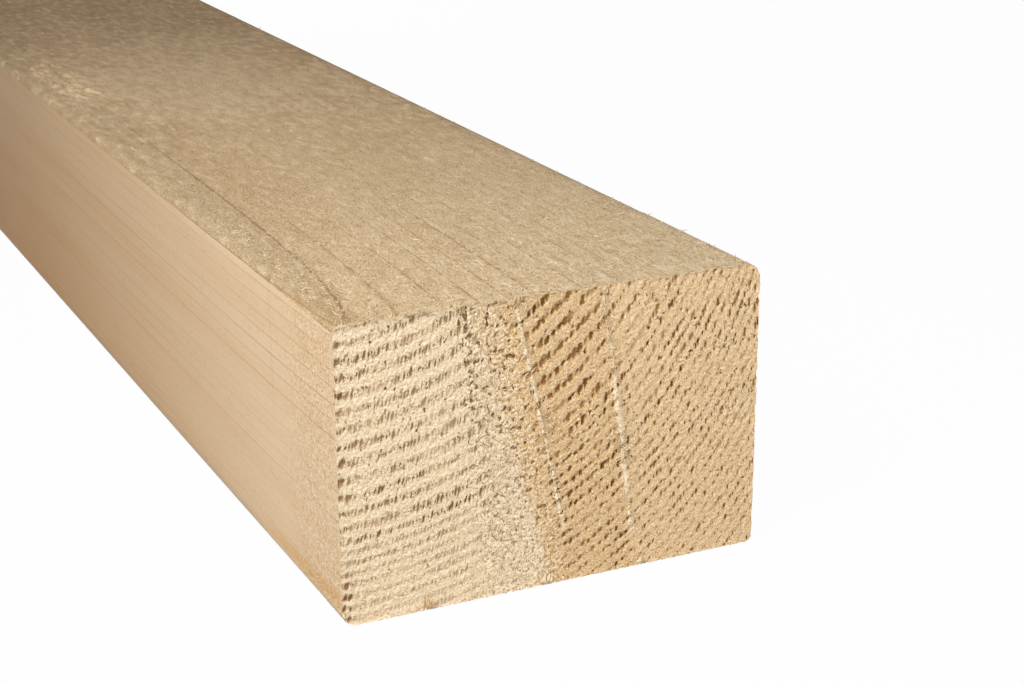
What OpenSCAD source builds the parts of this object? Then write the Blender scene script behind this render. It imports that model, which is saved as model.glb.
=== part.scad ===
// Planed softwood beam: one solid with four eased arrises, cut square at both ends.
// Millimetres. X runs along the length, Y across the width and Z up.
// The origin is the middle of the underside, and the front face looks along -Y.

/* [Section] */
// Width across the top and bottom faces
beam_width = 120; // [60:1:300]
// Height of the front and back faces
beam_height = 80; // [40:1:240]

/* [Length] */
// Length between the two crosscut ends
beam_length = 2000; // [300:10:6000]

/* [Arrises] */
// Radius of the arris between the front and top faces
front_top_radius = 2; // [0.5:0.5:12]
// Radius of the arris between the front and bottom faces
front_bottom_radius = 4; // [0.5:0.5:12]
// Radius of the arris between the back and top faces
back_top_radius = 4.5; // [0.5:0.5:12]
// Radius of the arris between the back and bottom faces
back_bottom_radius = 2; // [0.5:0.5:12]

/* [Hidden] */

// Segments of a full circle on the arrises
arris_segments = 96;

// Past a face, so that a cut leaves no skin behind
cut_margin = 1;

// What the planer takes from a square corner to leave an arc of the given radius.
// The corner is at the origin, with the timber on its +X and +Y side.
module arris_waste(radius) {
    difference() {
        translate([-cut_margin, -cut_margin])
            square(radius + cut_margin);
        translate([radius, radius])
            circle(r = radius, $fn = arris_segments);
    }
}

// The sawn rectangle with its four arrises eased, width along X and height along Y.
module beam_section() {
    difference() {
        translate([-beam_width / 2, 0])
            square([beam_width, beam_height]);
        translate([-beam_width / 2, 0])
            arris_waste(front_bottom_radius);
        translate([-beam_width / 2, beam_height])
            mirror([0, 1]) arris_waste(front_top_radius);
        translate([beam_width / 2, 0])
            mirror([1, 0]) arris_waste(back_bottom_radius);
        translate([beam_width / 2, beam_height])
            rotate(180) arris_waste(back_top_radius);
    }
}

// The section drawn out along X, half to each side of the origin.
module timber_beam() {
    color("burlywood")
        rotate([90, 0, 90])
            linear_extrude(height = beam_length, center = true)
                beam_section();
}

timber_beam();
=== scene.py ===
"""A planed spruce beam with a torn sawn end and a woolly top, in a plain studio.

Classes hold millimetres, and Blender holds metres. X runs along the length, Y across the width and Z up. The
front face looks along -Y, and the shown end is at the high end of X.
"""

import logging
import math
from dataclasses import dataclass, field, replace
from enum import Enum

import bpy
import numpy as np
from mathutils import Matrix, Vector


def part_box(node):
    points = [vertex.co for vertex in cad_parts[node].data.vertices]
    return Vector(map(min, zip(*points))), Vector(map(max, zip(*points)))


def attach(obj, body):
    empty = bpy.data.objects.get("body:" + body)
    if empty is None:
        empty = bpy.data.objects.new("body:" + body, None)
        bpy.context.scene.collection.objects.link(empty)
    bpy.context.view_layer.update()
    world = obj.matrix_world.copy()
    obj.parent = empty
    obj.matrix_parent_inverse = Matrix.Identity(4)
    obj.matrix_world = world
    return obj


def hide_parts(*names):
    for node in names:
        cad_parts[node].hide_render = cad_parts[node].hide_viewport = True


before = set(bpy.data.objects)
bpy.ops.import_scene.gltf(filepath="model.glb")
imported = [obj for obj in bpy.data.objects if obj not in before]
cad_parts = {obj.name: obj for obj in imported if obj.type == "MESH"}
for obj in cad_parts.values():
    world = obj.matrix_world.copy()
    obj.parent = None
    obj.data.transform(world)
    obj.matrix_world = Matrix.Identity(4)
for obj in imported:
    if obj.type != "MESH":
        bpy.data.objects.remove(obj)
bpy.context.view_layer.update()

MM = 0.001
NODE = "timber_beam"
BODY = "root"
SMOOTH = {"interpolation_type": "SMOOTHSTEP"}

# Inputs that share their names on a node, by number: of numbers, of whole numbers and of colours
FIRST, SECOND = 2, 3
FIRST_INT, SECOND_INT = 4, 5
FIRST_COLOUR, SECOND_COLOUR = 6, 7
COLOUR = {"data_type": "RGBA", "out": 2}

log = logging.getLogger("beam")
Socket = bpy.types.NodeSocket
Feed = Socket | bpy.types.Material | tuple | float | int | bool | str | None


def linear(colour: str) -> tuple[float, float, float, float]:
    """Turns an sRGB hex colour into the linear one that a socket takes.

    Args:
        colour: Six hex digits after a hash.

    Returns:
        Red, green, blue and an alpha of one.
    """
    shares = [int(colour[start:start + 2], 16) / 255 for start in (1, 3, 5)]
    red, green, blue = (s / 12.92 if s <= 0.04045 else ((s + 0.055) / 1.055) ** 2.4 for s in shares)
    return red, green, blue, 1.0


# Tools for node trees


class Bench:
    """A node tree that is being laid out, of a material or of Geometry Nodes."""

    def __init__(self, tree: bpy.types.NodeTree) -> None:
        """Keeps the tree that the nodes go into."""
        self.tree = tree

    def add(self, kind: str, *feeds: Feed, at: dict | None = None, out: int | str = 0, **settings) -> Socket:
        """Adds one node with its settings and links.

        Args:
            kind: The node's type; a name without a family is one that materials and Geometry Nodes share.
            feeds: What goes into the inputs in their order: a socket, a value, or None to leave one alone.
            at: What goes into inputs given by name or number.
            out: The output that is wanted.
            settings: The node's own properties.

        Returns:
            The wanted output, or the first input of a node that has no outputs.
        """
        family = "" if kind.startswith(("Geometry", "Function", "Node")) else "ShaderNode"
        node = self.tree.nodes.new(family + kind)
        for name, value in settings.items():
            setattr(node, name, value)
        for key, feed in [*enumerate(feeds), *(at or {}).items()]:
            if isinstance(feed, Socket):
                self.tree.links.new(feed, node.inputs[key])
            elif feed is not None:
                node.inputs[key].default_value = feed
        return node.outputs[out] if node.outputs else node.inputs[0]


class Recipe:
    """A Geometry Nodes tree with named inputs, which is run on a host and leaves a plain mesh."""

    def __init__(self, name: str) -> None:
        """Starts the tree with a mesh going in and a mesh coming out.

        Args:
            name: What the tree makes.
        """
        self.tree = bpy.data.node_groups.new(name, "GeometryNodeTree")
        self.bench = Bench(self.tree)
        self.values: dict[str, Feed] = {}
        for way in ("INPUT", "OUTPUT"):
            self.tree.interface.new_socket("Geometry", in_out=way, socket_type="NodeSocketGeometry")
        self.entry = self.tree.nodes.new("NodeGroupInput")

    def size(self, name: str, value: Feed, kind: str = "Float") -> Socket:
        """Adds a named input.

        Args:
            name: The input's plain name.
            value: What it is set to when the tree is run.
            kind: The sort of value, such as Float, Int, Vector or Material.

        Returns:
            The socket that brings the value into the tree.
        """
        item = self.tree.interface.new_socket(name, in_out="INPUT", socket_type="NodeSocket" + kind)
        self.values[item.identifier] = value
        return self.entry.outputs[name]

    def close(self, geometry: Socket, material: Socket) -> None:
        """Ends the tree by making its instances real and giving them a material.

        Args:
            geometry: What the tree has made.
            material: The socket that brings the material.
        """
        real = self.bench.add("GeometryNodeRealizeInstances", geometry)
        dressed = self.bench.add("GeometryNodeSetMaterial", real, at={"Material": material})
        self.bench.add("NodeGroupOutput", dressed)

    def run(self, host: bpy.types.Object) -> None:
        """Runs the tree on a host and leaves the result as the host's own smooth mesh.

        Args:
            host: The object that the tree works on.
        """
        modifier = host.modifiers.new(self.tree.name, "NODES")
        modifier.node_group = self.tree
        for identifier, value in self.values.items():
            modifier[identifier] = value
        graph = bpy.context.evaluated_depsgraph_get()
        made = bpy.data.meshes.new_from_object(host.evaluated_get(graph))
        host.modifiers.remove(modifier)
        made.polygons.foreach_set("use_smooth", np.ones(len(made.polygons), bool))
        host.data = made

    def piece(self, name: str) -> bpy.types.Object:
        """Runs the tree by itself, with nothing going in.

        Args:
            name: The name of the piece that it makes.

        Returns:
            The new piece.
        """
        piece = new_piece(name, bpy.data.meshes.new(name))
        self.run(piece)
        return piece


def new_piece(name: str, mesh: bpy.types.Mesh) -> bpy.types.Object:
    """Puts a mesh into the scene as an object at the origin.

    Args:
        name: The piece's name.
        mesh: Its mesh, with its place in the points.

    Returns:
        The new object.
    """
    piece = bpy.data.objects.new(name, mesh)
    bpy.context.scene.collection.objects.link(piece)
    return piece


# The timber: its sizes and its growth rings


@dataclass(frozen=True)
class Stock:
    """The planes that the beam lies between, in millimetres."""

    far: float
    front: float
    under: float
    shown: float
    back: float
    top: float

    @classmethod
    def from_frame(cls) -> "Stock":
        """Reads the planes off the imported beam."""
        low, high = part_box(NODE)
        return cls(*(value / MM for value in (*low, *high)))


@dataclass(frozen=True)
class RingPoint:
    """The sockets that say where a point lies among the growth rings, in millimetres."""

    place: Socket
    behind: Socket
    across: Socket
    down: Socket
    radius: Socket
    along: Socket
    count: Socket
    share: Socket
    width: Socket

    def late_line(self, bench: Bench, start: float, full: float) -> Socket:
        """Lays the dark line where a ring ends.

        Args:
            bench: The tree the nodes go into.
            start: The share of the ring at which the line starts.
            full: The share at which it is darkest.

        Returns:
            One where the line is darkest, and nought off it.
        """
        rise = bench.add("MapRange", self.share, start, full, 0.0, 1.0, **SMOOTH)
        fall = bench.add("MapRange", self.share, full, 1.0, 1.0, 0.0, **SMOOTH)
        return bench.add("Math", rise, fall, operation="MULTIPLY")


@dataclass(frozen=True)
class GrowthRings:
    """Rings round a pith outside the beam, over its front arris, that dips away from the shown end."""

    stock: Stock
    pith_before_front: float = 3.0
    pith_over_top: float = 70.0
    pith_dip: float = 2.1
    dip_reach: float = 50.0
    core_ring: float = 2.42
    young_ring: float = 4.42
    old_ring: float = 3.05
    core_radius: float = 72.6
    young_radius: float = 124.0
    outermost: float = 240.0
    core_count: float = 26.889
    waver: float = 0.9
    waver_size: float = 30.0
    waver_stretch: float = 14.0
    uneven: float = 0.3
    uneven_size: float = 9.0
    oval_start: float = 63.0
    oval: float = 0.0035

    def lay(self, bench: Bench, position: Socket) -> RingPoint:
        """Lays the nodes that place a point among the rings.

        Args:
            bench: The tree they go into.
            position: The point in metres.

        Returns:
            The point's place by the rings, the ends and the faces.
        """
        stock = self.stock
        place = bench.add("VectorMath", position, at={"Scale": 1 / MM}, operation="SCALE")
        slow = 1 / (self.waver_size * self.waver_stretch)
        quick = 1 / self.waver_size
        drawn_out = bench.add("VectorMath", place, (slow, quick, quick), operation="MULTIPLY")
        sway = bench.add("TexNoise", drawn_out, at={"Scale": 1.0, "Detail": 2.0}, out=1)
        centred = bench.add("VectorMath", sway, (0.5, 0.5, 0.5), operation="SUBTRACT")
        reach = (0.0, self.waver, self.waver)
        swayed = bench.add("VectorMath", centred, reach, place, operation="MULTIPLY_ADD")
        steady = bench.add("SeparateXYZ", place).node.outputs
        moved = bench.add("SeparateXYZ", swayed).node.outputs
        behind = bench.add("Math", stock.shown, steady[0], operation="SUBTRACT")
        across = bench.add("Math", steady[1], stock.front, operation="SUBTRACT")
        down = bench.add("Math", stock.top, steady[2], operation="SUBTRACT")
        level = bench.add("Math", behind, -1 / self.dip_reach, operation="MULTIPLY")
        level = bench.add("Math", level, operation="EXPONENT")
        lowest = stock.top + self.pith_over_top - self.pith_dip
        pith = bench.add("Math", level, self.pith_dip, lowest, operation="MULTIPLY_ADD")
        aside = bench.add("Math", moved[1], stock.front - self.pith_before_front, operation="SUBTRACT")
        span = self.outermost - self.oval_start
        beyond = bench.add("MapRange", aside, self.oval_start, self.outermost, 0.0, span)
        squared = bench.add("Math", beyond, beyond, operation="MULTIPLY")
        aside = bench.add("Math", squared, self.oval, aside, operation="MULTIPLY_ADD")
        below = bench.add("Math", pith, moved[2], operation="SUBTRACT")
        radius = bench.add("VectorMath", bench.add("CombineXYZ", aside, below), operation="LENGTH", out=1)
        turn = bench.add("Math", aside, below, operation="ARCTAN2")
        along = bench.add("Math", turn, radius, operation="MULTIPLY")
        season = bench.add("TexNoise", at={"W": radius, "Scale": 1 / self.uneven_size}, noise_dimensions="1D")
        first_count = self.core_count - self.uneven / 2
        rings = bench.add("Math", season, self.uneven, first_count, operation="MULTIPLY_ADD")
        core, young, old = self.core_radius, self.young_radius, self.outermost
        spans = (
            (0.0, core, -core / self.core_ring, 0.0),
            (core, young, 0.0, (young - core) / self.young_ring),
            (young, old, 0.0, (old - young) / self.old_ring),
        )
        for span in spans:
            rings = bench.add("Math", rings, bench.add("MapRange", radius, *span), operation="ADD")
        count = bench.add("Math", rings, operation="FLOOR")
        share = bench.add("Math", rings, operation="FRACT")
        grown = bench.add("Math", radius, young, operation="GREATER_THAN")
        width = bench.add("MapRange", grown, 0.0, 1.0, self.young_ring, self.old_ring)
        return RingPoint(place, behind, across, down, radius, along, count, share, width)


@dataclass(frozen=True)
class TornRow:
    """Holes that the saw tore along every ring, one in each cell of the ring."""

    pitch: float
    half_width: float
    half_height: float
    slant: float
    missing: float
    weakest: float
    seed: float
    stray: float = 0.65
    lift: float = 0.16
    centre: float = 0.5
    smallest: float = 0.45
    largest: float = 1.4
    small_bias: float = 1.4
    narrow: float = 0.8
    frayed: float = 1.4
    lumpy: float = 0.5
    rim: float = 1.2
    floor: float = 0.45
    low_start: float = 30.0
    low_end: float = 74.0
    low_size: float = 1.0

    def lay(self, bench: Bench, ring: RingPoint, fray: Socket, lump: Socket) -> Socket:
        """Lays the nodes that say how deep in a hole a point is.

        Args:
            bench: The tree they go into.
            ring: The point among the rings.
            fray: Fine noise round nought that makes the holes' edges ragged.
            lump: Coarser noise round a half that bends them.

        Returns:
            Nought on whole wood, and one at the bottom of a strong hole.
        """
        number = bench.add("Math", ring.count, self.seed, operation="ADD")
        start = bench.add("TexWhiteNoise", at={"W": number}, noise_dimensions="1D", out=1)
        draws = bench.add("SeparateXYZ", start).node.outputs
        offset = bench.add("Math", draws[0], self.pitch * self.seed, operation="MULTIPLY")
        slanted = bench.add("Math", ring.share, self.slant, ring.along, operation="MULTIPLY_ADD")
        moved = bench.add("Math", slanted, offset, operation="ADD")
        cells = bench.add("Math", moved, 1 / self.pitch, operation="MULTIPLY")
        cell = bench.add("Math", cells, operation="FLOOR")
        spot = bench.add("Math", cells, operation="FRACT")
        luck = bench.add("TexWhiteNoise", bench.add("CombineXYZ", number, cell), noise_dimensions="2D")
        tints = bench.add("SeparateXYZ", luck.node.outputs[1]).node.outputs
        sidestep = bench.add("Math", tints[0], -self.stray, spot, operation="MULTIPLY_ADD")
        sideways = bench.add("Math", sidestep, (self.stray - 1) / 2, operation="ADD")
        upstep = bench.add("Math", tints[1], -self.lift, ring.share, operation="MULTIPLY_ADD")
        upward = bench.add("Math", upstep, self.lift / 2 - self.centre, operation="ADD")
        upward = bench.add("Math", upward, ring.width, operation="MULTIPLY")
        wide = bench.add("Math", sideways, self.pitch / self.half_width, operation="MULTIPLY")
        high = bench.add("Math", upward, 1 / self.half_height, operation="MULTIPLY")
        reach = bench.add("VectorMath", bench.add("CombineXYZ", wide, high), operation="LENGTH", out=1)
        drawn = bench.add("Math", tints[2], self.small_bias, operation="POWER")
        size = bench.add("MapRange", drawn, 0.0, 1.0, self.smallest, self.largest)
        rings = self.narrow_rings(bench, ring)
        lower = bench.add("MapRange", ring.down, self.low_start, self.low_end, 1.0, self.low_size)
        size = bench.add("Math", size, rings, operation="MULTIPLY")
        size = bench.add("Math", size, lower, operation="MULTIPLY")
        relative = bench.add("Math", reach, size, operation="DIVIDE")
        relative = bench.add("Math", fray, self.frayed, relative, operation="MULTIPLY_ADD")
        bent = bench.add("Math", lump, self.lumpy, -self.lumpy / 2, operation="MULTIPLY_ADD")
        relative = bench.add("Math", relative, bent, operation="ADD")
        hole = bench.add("MapRange", relative, self.rim, self.floor, 0.0, 1.0, **SMOOTH)
        there = bench.add("Math", luck, self.missing, operation="GREATER_THAN")
        strength = bench.add("MapRange", draws[1], 0.0, 1.0, self.weakest, 1.0)
        torn = bench.add("Math", hole, there, operation="MULTIPLY")
        return bench.add("Math", torn, strength, operation="MULTIPLY")

    def narrow_rings(self, bench: Bench, ring: RingPoint) -> Socket:
        """Lays the nodes that make holes smaller where the rings are narrow."""
        widths = GrowthRings.old_ring, GrowthRings.young_ring
        return bench.add("MapRange", ring.width, *widths, self.narrow, 1.0)


@dataclass(frozen=True)
class SawLine:
    """A line that the saw left down the end, leaning to the back as it goes down."""

    at_top: float
    lean: float
    ragged: float
    starts: float = 0.0
    ends: float = 80.0
    fade: float = 6.0
    width: float = 0.8
    strength: float = 0.6
    thinnest: float = 0.5
    thinning: tuple[float, float] = (0.38, 0.62)
    frayed: float = 3.0

    def lay(self, bench: Bench, ring: RingPoint, shake: Socket) -> Socket:
        """Lays the nodes that measure how far a point is past the line.

        Args:
            bench: The tree they go into.
            ring: The point among the rings.
            shake: A number round a half that makes the line ragged.

        Returns:
            Millimetres past the line, towards the back of the beam.
        """
        straight = bench.add("Math", ring.down, -self.lean, ring.across, operation="MULTIPLY_ADD")
        past = bench.add("Math", straight, self.at_top + self.ragged / 2, operation="SUBTRACT")
        return bench.add("Math", shake, self.ragged, past, operation="MULTIPLY_ADD")

    def stretch(self, bench: Bench, ring: RingPoint) -> Socket:
        """Lays the nodes that fade the line out above its start and below its end.

        Args:
            bench: The tree they go into.
            ring: The point among the rings.

        Returns:
            One along the line, and nought past its ends.
        """
        top = bench.add("MapRange", ring.down, self.starts - self.fade, self.starts, 0.0, 1.0, **SMOOTH)
        low = bench.add("MapRange", ring.down, self.ends, self.ends + self.fade, 1.0, 0.0, **SMOOTH)
        return bench.add("Math", top, low, operation="MULTIPLY")

    def strand(self, bench: Bench, ring: RingPoint, past: Socket, luck: Socket, fray: Socket) -> Socket:
        """Lays a pale frayed strand that stands along the line.

        Args:
            bench: The tree the nodes go into.
            ring: The point among the rings.
            past: Millimetres past the line.
            luck: Slow noise that thins the strand.
            fray: Fine noise round nought.

        Returns:
            One on the strand.
        """
        beside = bench.add("Math", past, operation="ABSOLUTE")
        frayed = bench.add("Math", fray, self.width * self.frayed, beside, operation="MULTIPLY_ADD")
        thin, thick = self.width * self.thinnest, self.width * (2 - self.thinnest)
        reach = bench.add("MapRange", luck, *self.thinning, thin, thick, **SMOOTH)
        thread = bench.add("MapRange", frayed, 0.0, reach, self.strength, 0.0, **SMOOTH)
        return bench.add("Math", thread, self.stretch(bench, ring), operation="MULTIPLY")


@dataclass(frozen=True)
class EndPoint:
    """The sockets that say how the saw left a point of the end."""

    pale: Socket
    last: Socket
    woolly: Socket
    holes: Socket
    sunk: Socket
    rows: Socket
    strands: Socket
    stripes: Socket
    lumps: Socket
    sand: Socket
    rust: Socket


@dataclass(frozen=True)
class SawnEnd:
    """The end as the saw left it: combed rows at the front, woolly in the middle and pitted at the back."""

    rings: GrowthRings
    combed: TornRow = TornRow(
        pitch=1.0, half_width=0.31, half_height=0.86, slant=0.8, missing=0.16, weakest=0.45, seed=3.0,
        stray=0.75, smallest=0.35, largest=1.6, frayed=1.9, lumpy=0.9, floor=0.35,
    )
    specked: TornRow = TornRow(
        pitch=0.9, half_width=0.26, half_height=0.34, slant=0.4, missing=0.5, weakest=0.5, seed=53.0,
        lift=0.5, frayed=2.0, lumpy=1.2,
    )
    notched: TornRow = TornRow(
        pitch=1.8, half_width=0.72, half_height=1.0, slant=0.6, missing=0.12, weakest=0.7, seed=37.0,
        lumpy=1.5,
    )
    pitted: TornRow = TornRow(
        pitch=2.2, half_width=0.86, half_height=0.86, slant=0.1, missing=0.1, weakest=0.75, seed=11.0,
        lumpy=1.7, rim=1.1, floor=0.6, low_size=0.74,
    )
    pricked: TornRow = TornRow(
        pitch=1.6, half_width=0.6, half_height=0.6, slant=0.1, missing=0.2, weakest=0.5, seed=23.0,
        stray=0.75, smallest=0.35, largest=1.6, lumpy=1.4, narrow=0.85, low_size=0.7,
    )
    ragged_band: SawLine = SawLine(at_top=34.3, lean=0.088, ragged=6.5)
    pale_edge: SawLine = SawLine(at_top=38.0, lean=0.26, ragged=6.0)
    first_ridge: SawLine = SawLine(
        at_top=48.1, lean=0.218, ragged=1.0, starts=3.0, ends=62.0, width=0.8, strength=0.9, thinnest=0.8
    )
    second_ridge: SawLine = SawLine(
        at_top=73.6, lean=0.126, ragged=1.6, starts=19.0, ends=66.0, width=0.95, strength=0.95, thinnest=0.35
    )
    band_width: float = 2.6
    row_tail: float = 9.0
    band_start: float = 42.0
    band_full: float = 22.0
    pale_fade: float = 1.6
    pale_fade_top: float = 10.0
    fade_depth: float = 64.0
    rows_fade_start: float = 48.0
    rows_fade_end: float = 76.0
    faded_rows: float = 0.45
    # Torn cells are finer than the picture can show, so the sand is drawn as coarse as it needs
    sand_size: float = 0.36
    lump_size: float = 0.9
    shake_size: float = 3.2
    patch_size: float = 11.0
    patch_span: tuple[float, float] = (0.32, 0.55)
    thin_patch: float = 0.45
    crumb_size: float = 1.15
    stray_crowd: float = 0.3
    woolly_crowd: float = 0.52
    band_crowd: float = 0.88
    low_band: float = 0.25
    clump_span: tuple[float, float] = (0.36, 0.64)
    least_clump: float = 0.72
    most_clump: float = 1.28
    # Across, down and reach of each place where splinters broke out of the low edge
    breaks: tuple[tuple[float, float, float], ...] = ((23.8, 78.0, 3.0), (56.4, 77.0, 5.0), (85.0, 78.0, 3.0))
    break_core: float = 1 / 3
    break_crowd: float = 0.72
    rare_crumb: float = 0.72
    common_crumb: float = 0.46
    crumb_slope: float = 0.1
    crumb_depth: float = 0.92
    low_crumbs: float = 0.42
    low_mottle: float = 0.8
    woolly_edge: float = 4.0
    stripe_length: float = 2.4
    stripe_width: float = 0.36
    row_width: float = 0.42
    row_core: float = 0.1
    rowless: float = 0.6
    row_shake: float = 0.7
    cell_shake: float = 0.7
    grain_pull: float = 0.65
    notch_reach: float = 4.5
    comb_depth: float = 0.55
    small_pits: float = 0.6
    small_specks: float = 0.6
    rust_span: tuple[float, float] = (0.45, 0.65)
    last_rust: float = 0.5

    def lay(self, bench: Bench, position: Socket) -> EndPoint:
        """Lays the nodes that say what the saw did to a point of the end.

        Args:
            bench: The tree they go into.
            position: The point in metres.

        Returns:
            The point's zone, holes, strands and fine texture.
        """
        ring = self.rings.lay(bench, position)
        flat = bench.add("CombineXYZ", ring.across, ring.down)
        pulled = bench.add("VectorMath", flat, (1.0, self.grain_pull, 1.0), operation="MULTIPLY")
        gritty = {"Scale": 1 / self.sand_size, "Detail": 2.0, "Roughness": 0.6}
        sand = bench.add("TexNoise", pulled, at=gritty)
        lump = bench.add("TexNoise", flat, at={"Scale": 1 / self.lump_size, "Detail": 2.0}, out=1)
        shake = bench.add("TexNoise", flat, at={"Scale": 1 / self.shake_size, "Detail": 3.0})
        patch = bench.add("TexNoise", flat, at={"Scale": 1 / self.patch_size, "Detail": 1.0}, out=1)
        stirs = bench.add("SeparateXYZ", lump).node.outputs
        patches = bench.add("SeparateXYZ", patch).node.outputs
        loose = self.loosened(bench, ring, stirs)
        past_band = self.ragged_band.lay(bench, ring, shake)
        past_pale = self.pale_edge.lay(bench, ring, shake)
        past_first = self.first_ridge.lay(bench, ring, shake)
        past_second = self.second_ridge.lay(bench, ring, shake)
        fade = bench.add("MapRange", ring.down, 0.0, self.fade_depth, self.pale_fade_top, self.pale_fade)
        before = bench.add("Math", fade, -1.0, operation="MULTIPLY")
        pale = bench.add("MapRange", past_pale, before, fade, 1.0, 0.0, **SMOOTH)
        front = bench.add("MapRange", past_band, -self.band_width, 0.0, 1.0, 0.0, **SMOOTH)
        last = bench.add("MapRange", past_second, -self.pale_fade, self.pale_fade, 0.0, 1.0, **SMOOTH)
        fray = bench.add("Math", sand, 0.5, operation="SUBTRACT")
        before_first = bench.add("MapRange", past_first, -self.woolly_edge, 0.0, 1.0, 0.0, **SMOOTH)
        woolly = bench.add("Math", before_first, front, operation="SUBTRACT", use_clamp=True)
        trailing = bench.add("MapRange", past_band, -self.band_width, self.row_tail, 1.0, 0.0, **SMOOTH)
        combs = self.front_rows(bench, loose, trailing, fray, stirs[2])
        pricks = self.pricked.lay(bench, loose, fray, stirs[2])
        pits = bench.add("Math", pricks, self.small_pits, operation="MULTIPLY")
        pits = bench.add("Math", self.pitted.lay(bench, loose, fray, stirs[2]), pits, operation="MAXIMUM")
        tan_holes = bench.add("Mix", last, at={FIRST: pits, SECOND: pricks})
        holes = bench.add("Mix", before_first, at={FIRST: tan_holes, SECOND: combs})
        patchy = bench.add("MapRange", patches[0], *self.patch_span, self.thin_patch, 1.0, **SMOOTH)
        holes = bench.add("Math", holes, patchy, operation="MULTIPLY")
        crumbs = self.crumbs(bench, ring, pulled, woolly, past_band, shake)
        depths = self.band_full, self.fade_depth
        settled = bench.add("MapRange", ring.down, *depths, 1.0, self.low_mottle, **SMOOTH)
        mottled = bench.add("Math", woolly, settled, operation="MULTIPLY")
        holes = bench.add("Math", holes, crumbs, operation="MAXIMUM")
        shallow = bench.add("MapRange", pale, 0.0, 1.0, 1.0, self.comb_depth)
        sunk = bench.add("Math", holes, shallow, operation="MULTIPLY")
        off_row = bench.add("Math", loose.share, 0.5, operation="SUBTRACT")
        off_row = bench.add("Math", off_row, operation="ABSOLUTE")
        rows = bench.add("MapRange", off_row, self.row_width, self.row_core, -1.0, 1.0, **SMOOTH)
        plain = bench.add("MapRange", woolly, 0.0, self.rowless, 1.0, 0.0)
        rows = bench.add("Math", rows, plain, operation="MULTIPLY")
        ends = bench.add("CombineXYZ", loose.along, ring.radius)
        thin, long = 1 / self.stripe_width, 1 / self.stripe_length
        grain = bench.add("VectorMath", ends, (long, thin, 0.0), operation="MULTIPLY")
        stripes = bench.add("TexNoise", grain, at={"Scale": 1.0, "Detail": 1.0})
        first = self.first_ridge.strand(bench, ring, past_first, patches[1], fray)
        second = self.second_ridge.strand(bench, ring, past_second, patches[2], fray)
        strands = bench.add("Math", first, second, operation="MAXIMUM")
        at_edge = bench.add("MapRange", ring.across, 0.0, self.notch_reach, 1.0, 0.0, **SMOOTH)
        rusty = bench.add("MapRange", patches[1], *self.rust_span, 0.0, 1.0, **SMOOTH)
        rust = bench.add("Math", rusty, at_edge, operation="MAXIMUM")
        at_back = bench.add("Math", last, self.last_rust, operation="MULTIPLY")
        rust = bench.add("Math", rust, at_back, operation="MAXIMUM")
        return EndPoint(pale, last, mottled, holes, sunk, rows, strands, stripes, stirs[2], sand, rust)

    def loosened(self, bench: Bench, ring: RingPoint, stirs: list[Socket]) -> RingPoint:
        """Shifts a point a little among the rings, so that holes get ragged edges.

        Args:
            bench: The tree the nodes go into.
            ring: The point among the rings.
            stirs: Numbers round a half that change from crumb to crumb.

        Returns:
            The shifted point.
        """
        lift = bench.add("Math", stirs[0], self.row_shake, -self.row_shake / 2, operation="MULTIPLY_ADD")
        lift = bench.add("Math", lift, ring.width, operation="DIVIDE")
        share = bench.add("Math", ring.share, lift, operation="ADD")
        along = bench.add("Math", stirs[1], self.cell_shake, ring.along, operation="MULTIPLY_ADD")
        return replace(ring, share=share, along=along)

    def front_rows(self, bench: Bench, loose: RingPoint, front: Socket, fray: Socket, lump: Socket) -> Socket:
        """Lays the rows of teeth before the ragged band, with bigger notches at the front arris.

        Args:
            bench: The tree the nodes go into.
            loose: The shifted point among the rings.
            front: One before the ragged band and nought past it.
            fray: Fine noise round nought.
            lump: Coarser noise round a half.

        Returns:
            How deep in a tooth or a notch the point is.
        """
        depths = self.rows_fade_start, self.rows_fade_end
        faded = bench.add("MapRange", loose.down, *depths, 1.0, self.faded_rows)
        specks = self.specked.lay(bench, loose, fray, lump)
        specks = bench.add("Math", specks, self.small_specks, operation="MULTIPLY")
        teeth = bench.add("Math", self.combed.lay(bench, loose, fray, lump), specks, operation="MAXIMUM")
        teeth = bench.add("Math", teeth, faded, operation="MULTIPLY")
        near = bench.add("MapRange", loose.across, self.notch_reach / 2, self.notch_reach, 1.0, 0.0, **SMOOTH)
        notches = bench.add("Math", self.notched.lay(bench, loose, fray, lump), near, operation="MULTIPLY")
        both = bench.add("Math", teeth, notches, operation="MAXIMUM")
        return bench.add("Math", both, front, operation="MULTIPLY")

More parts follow.
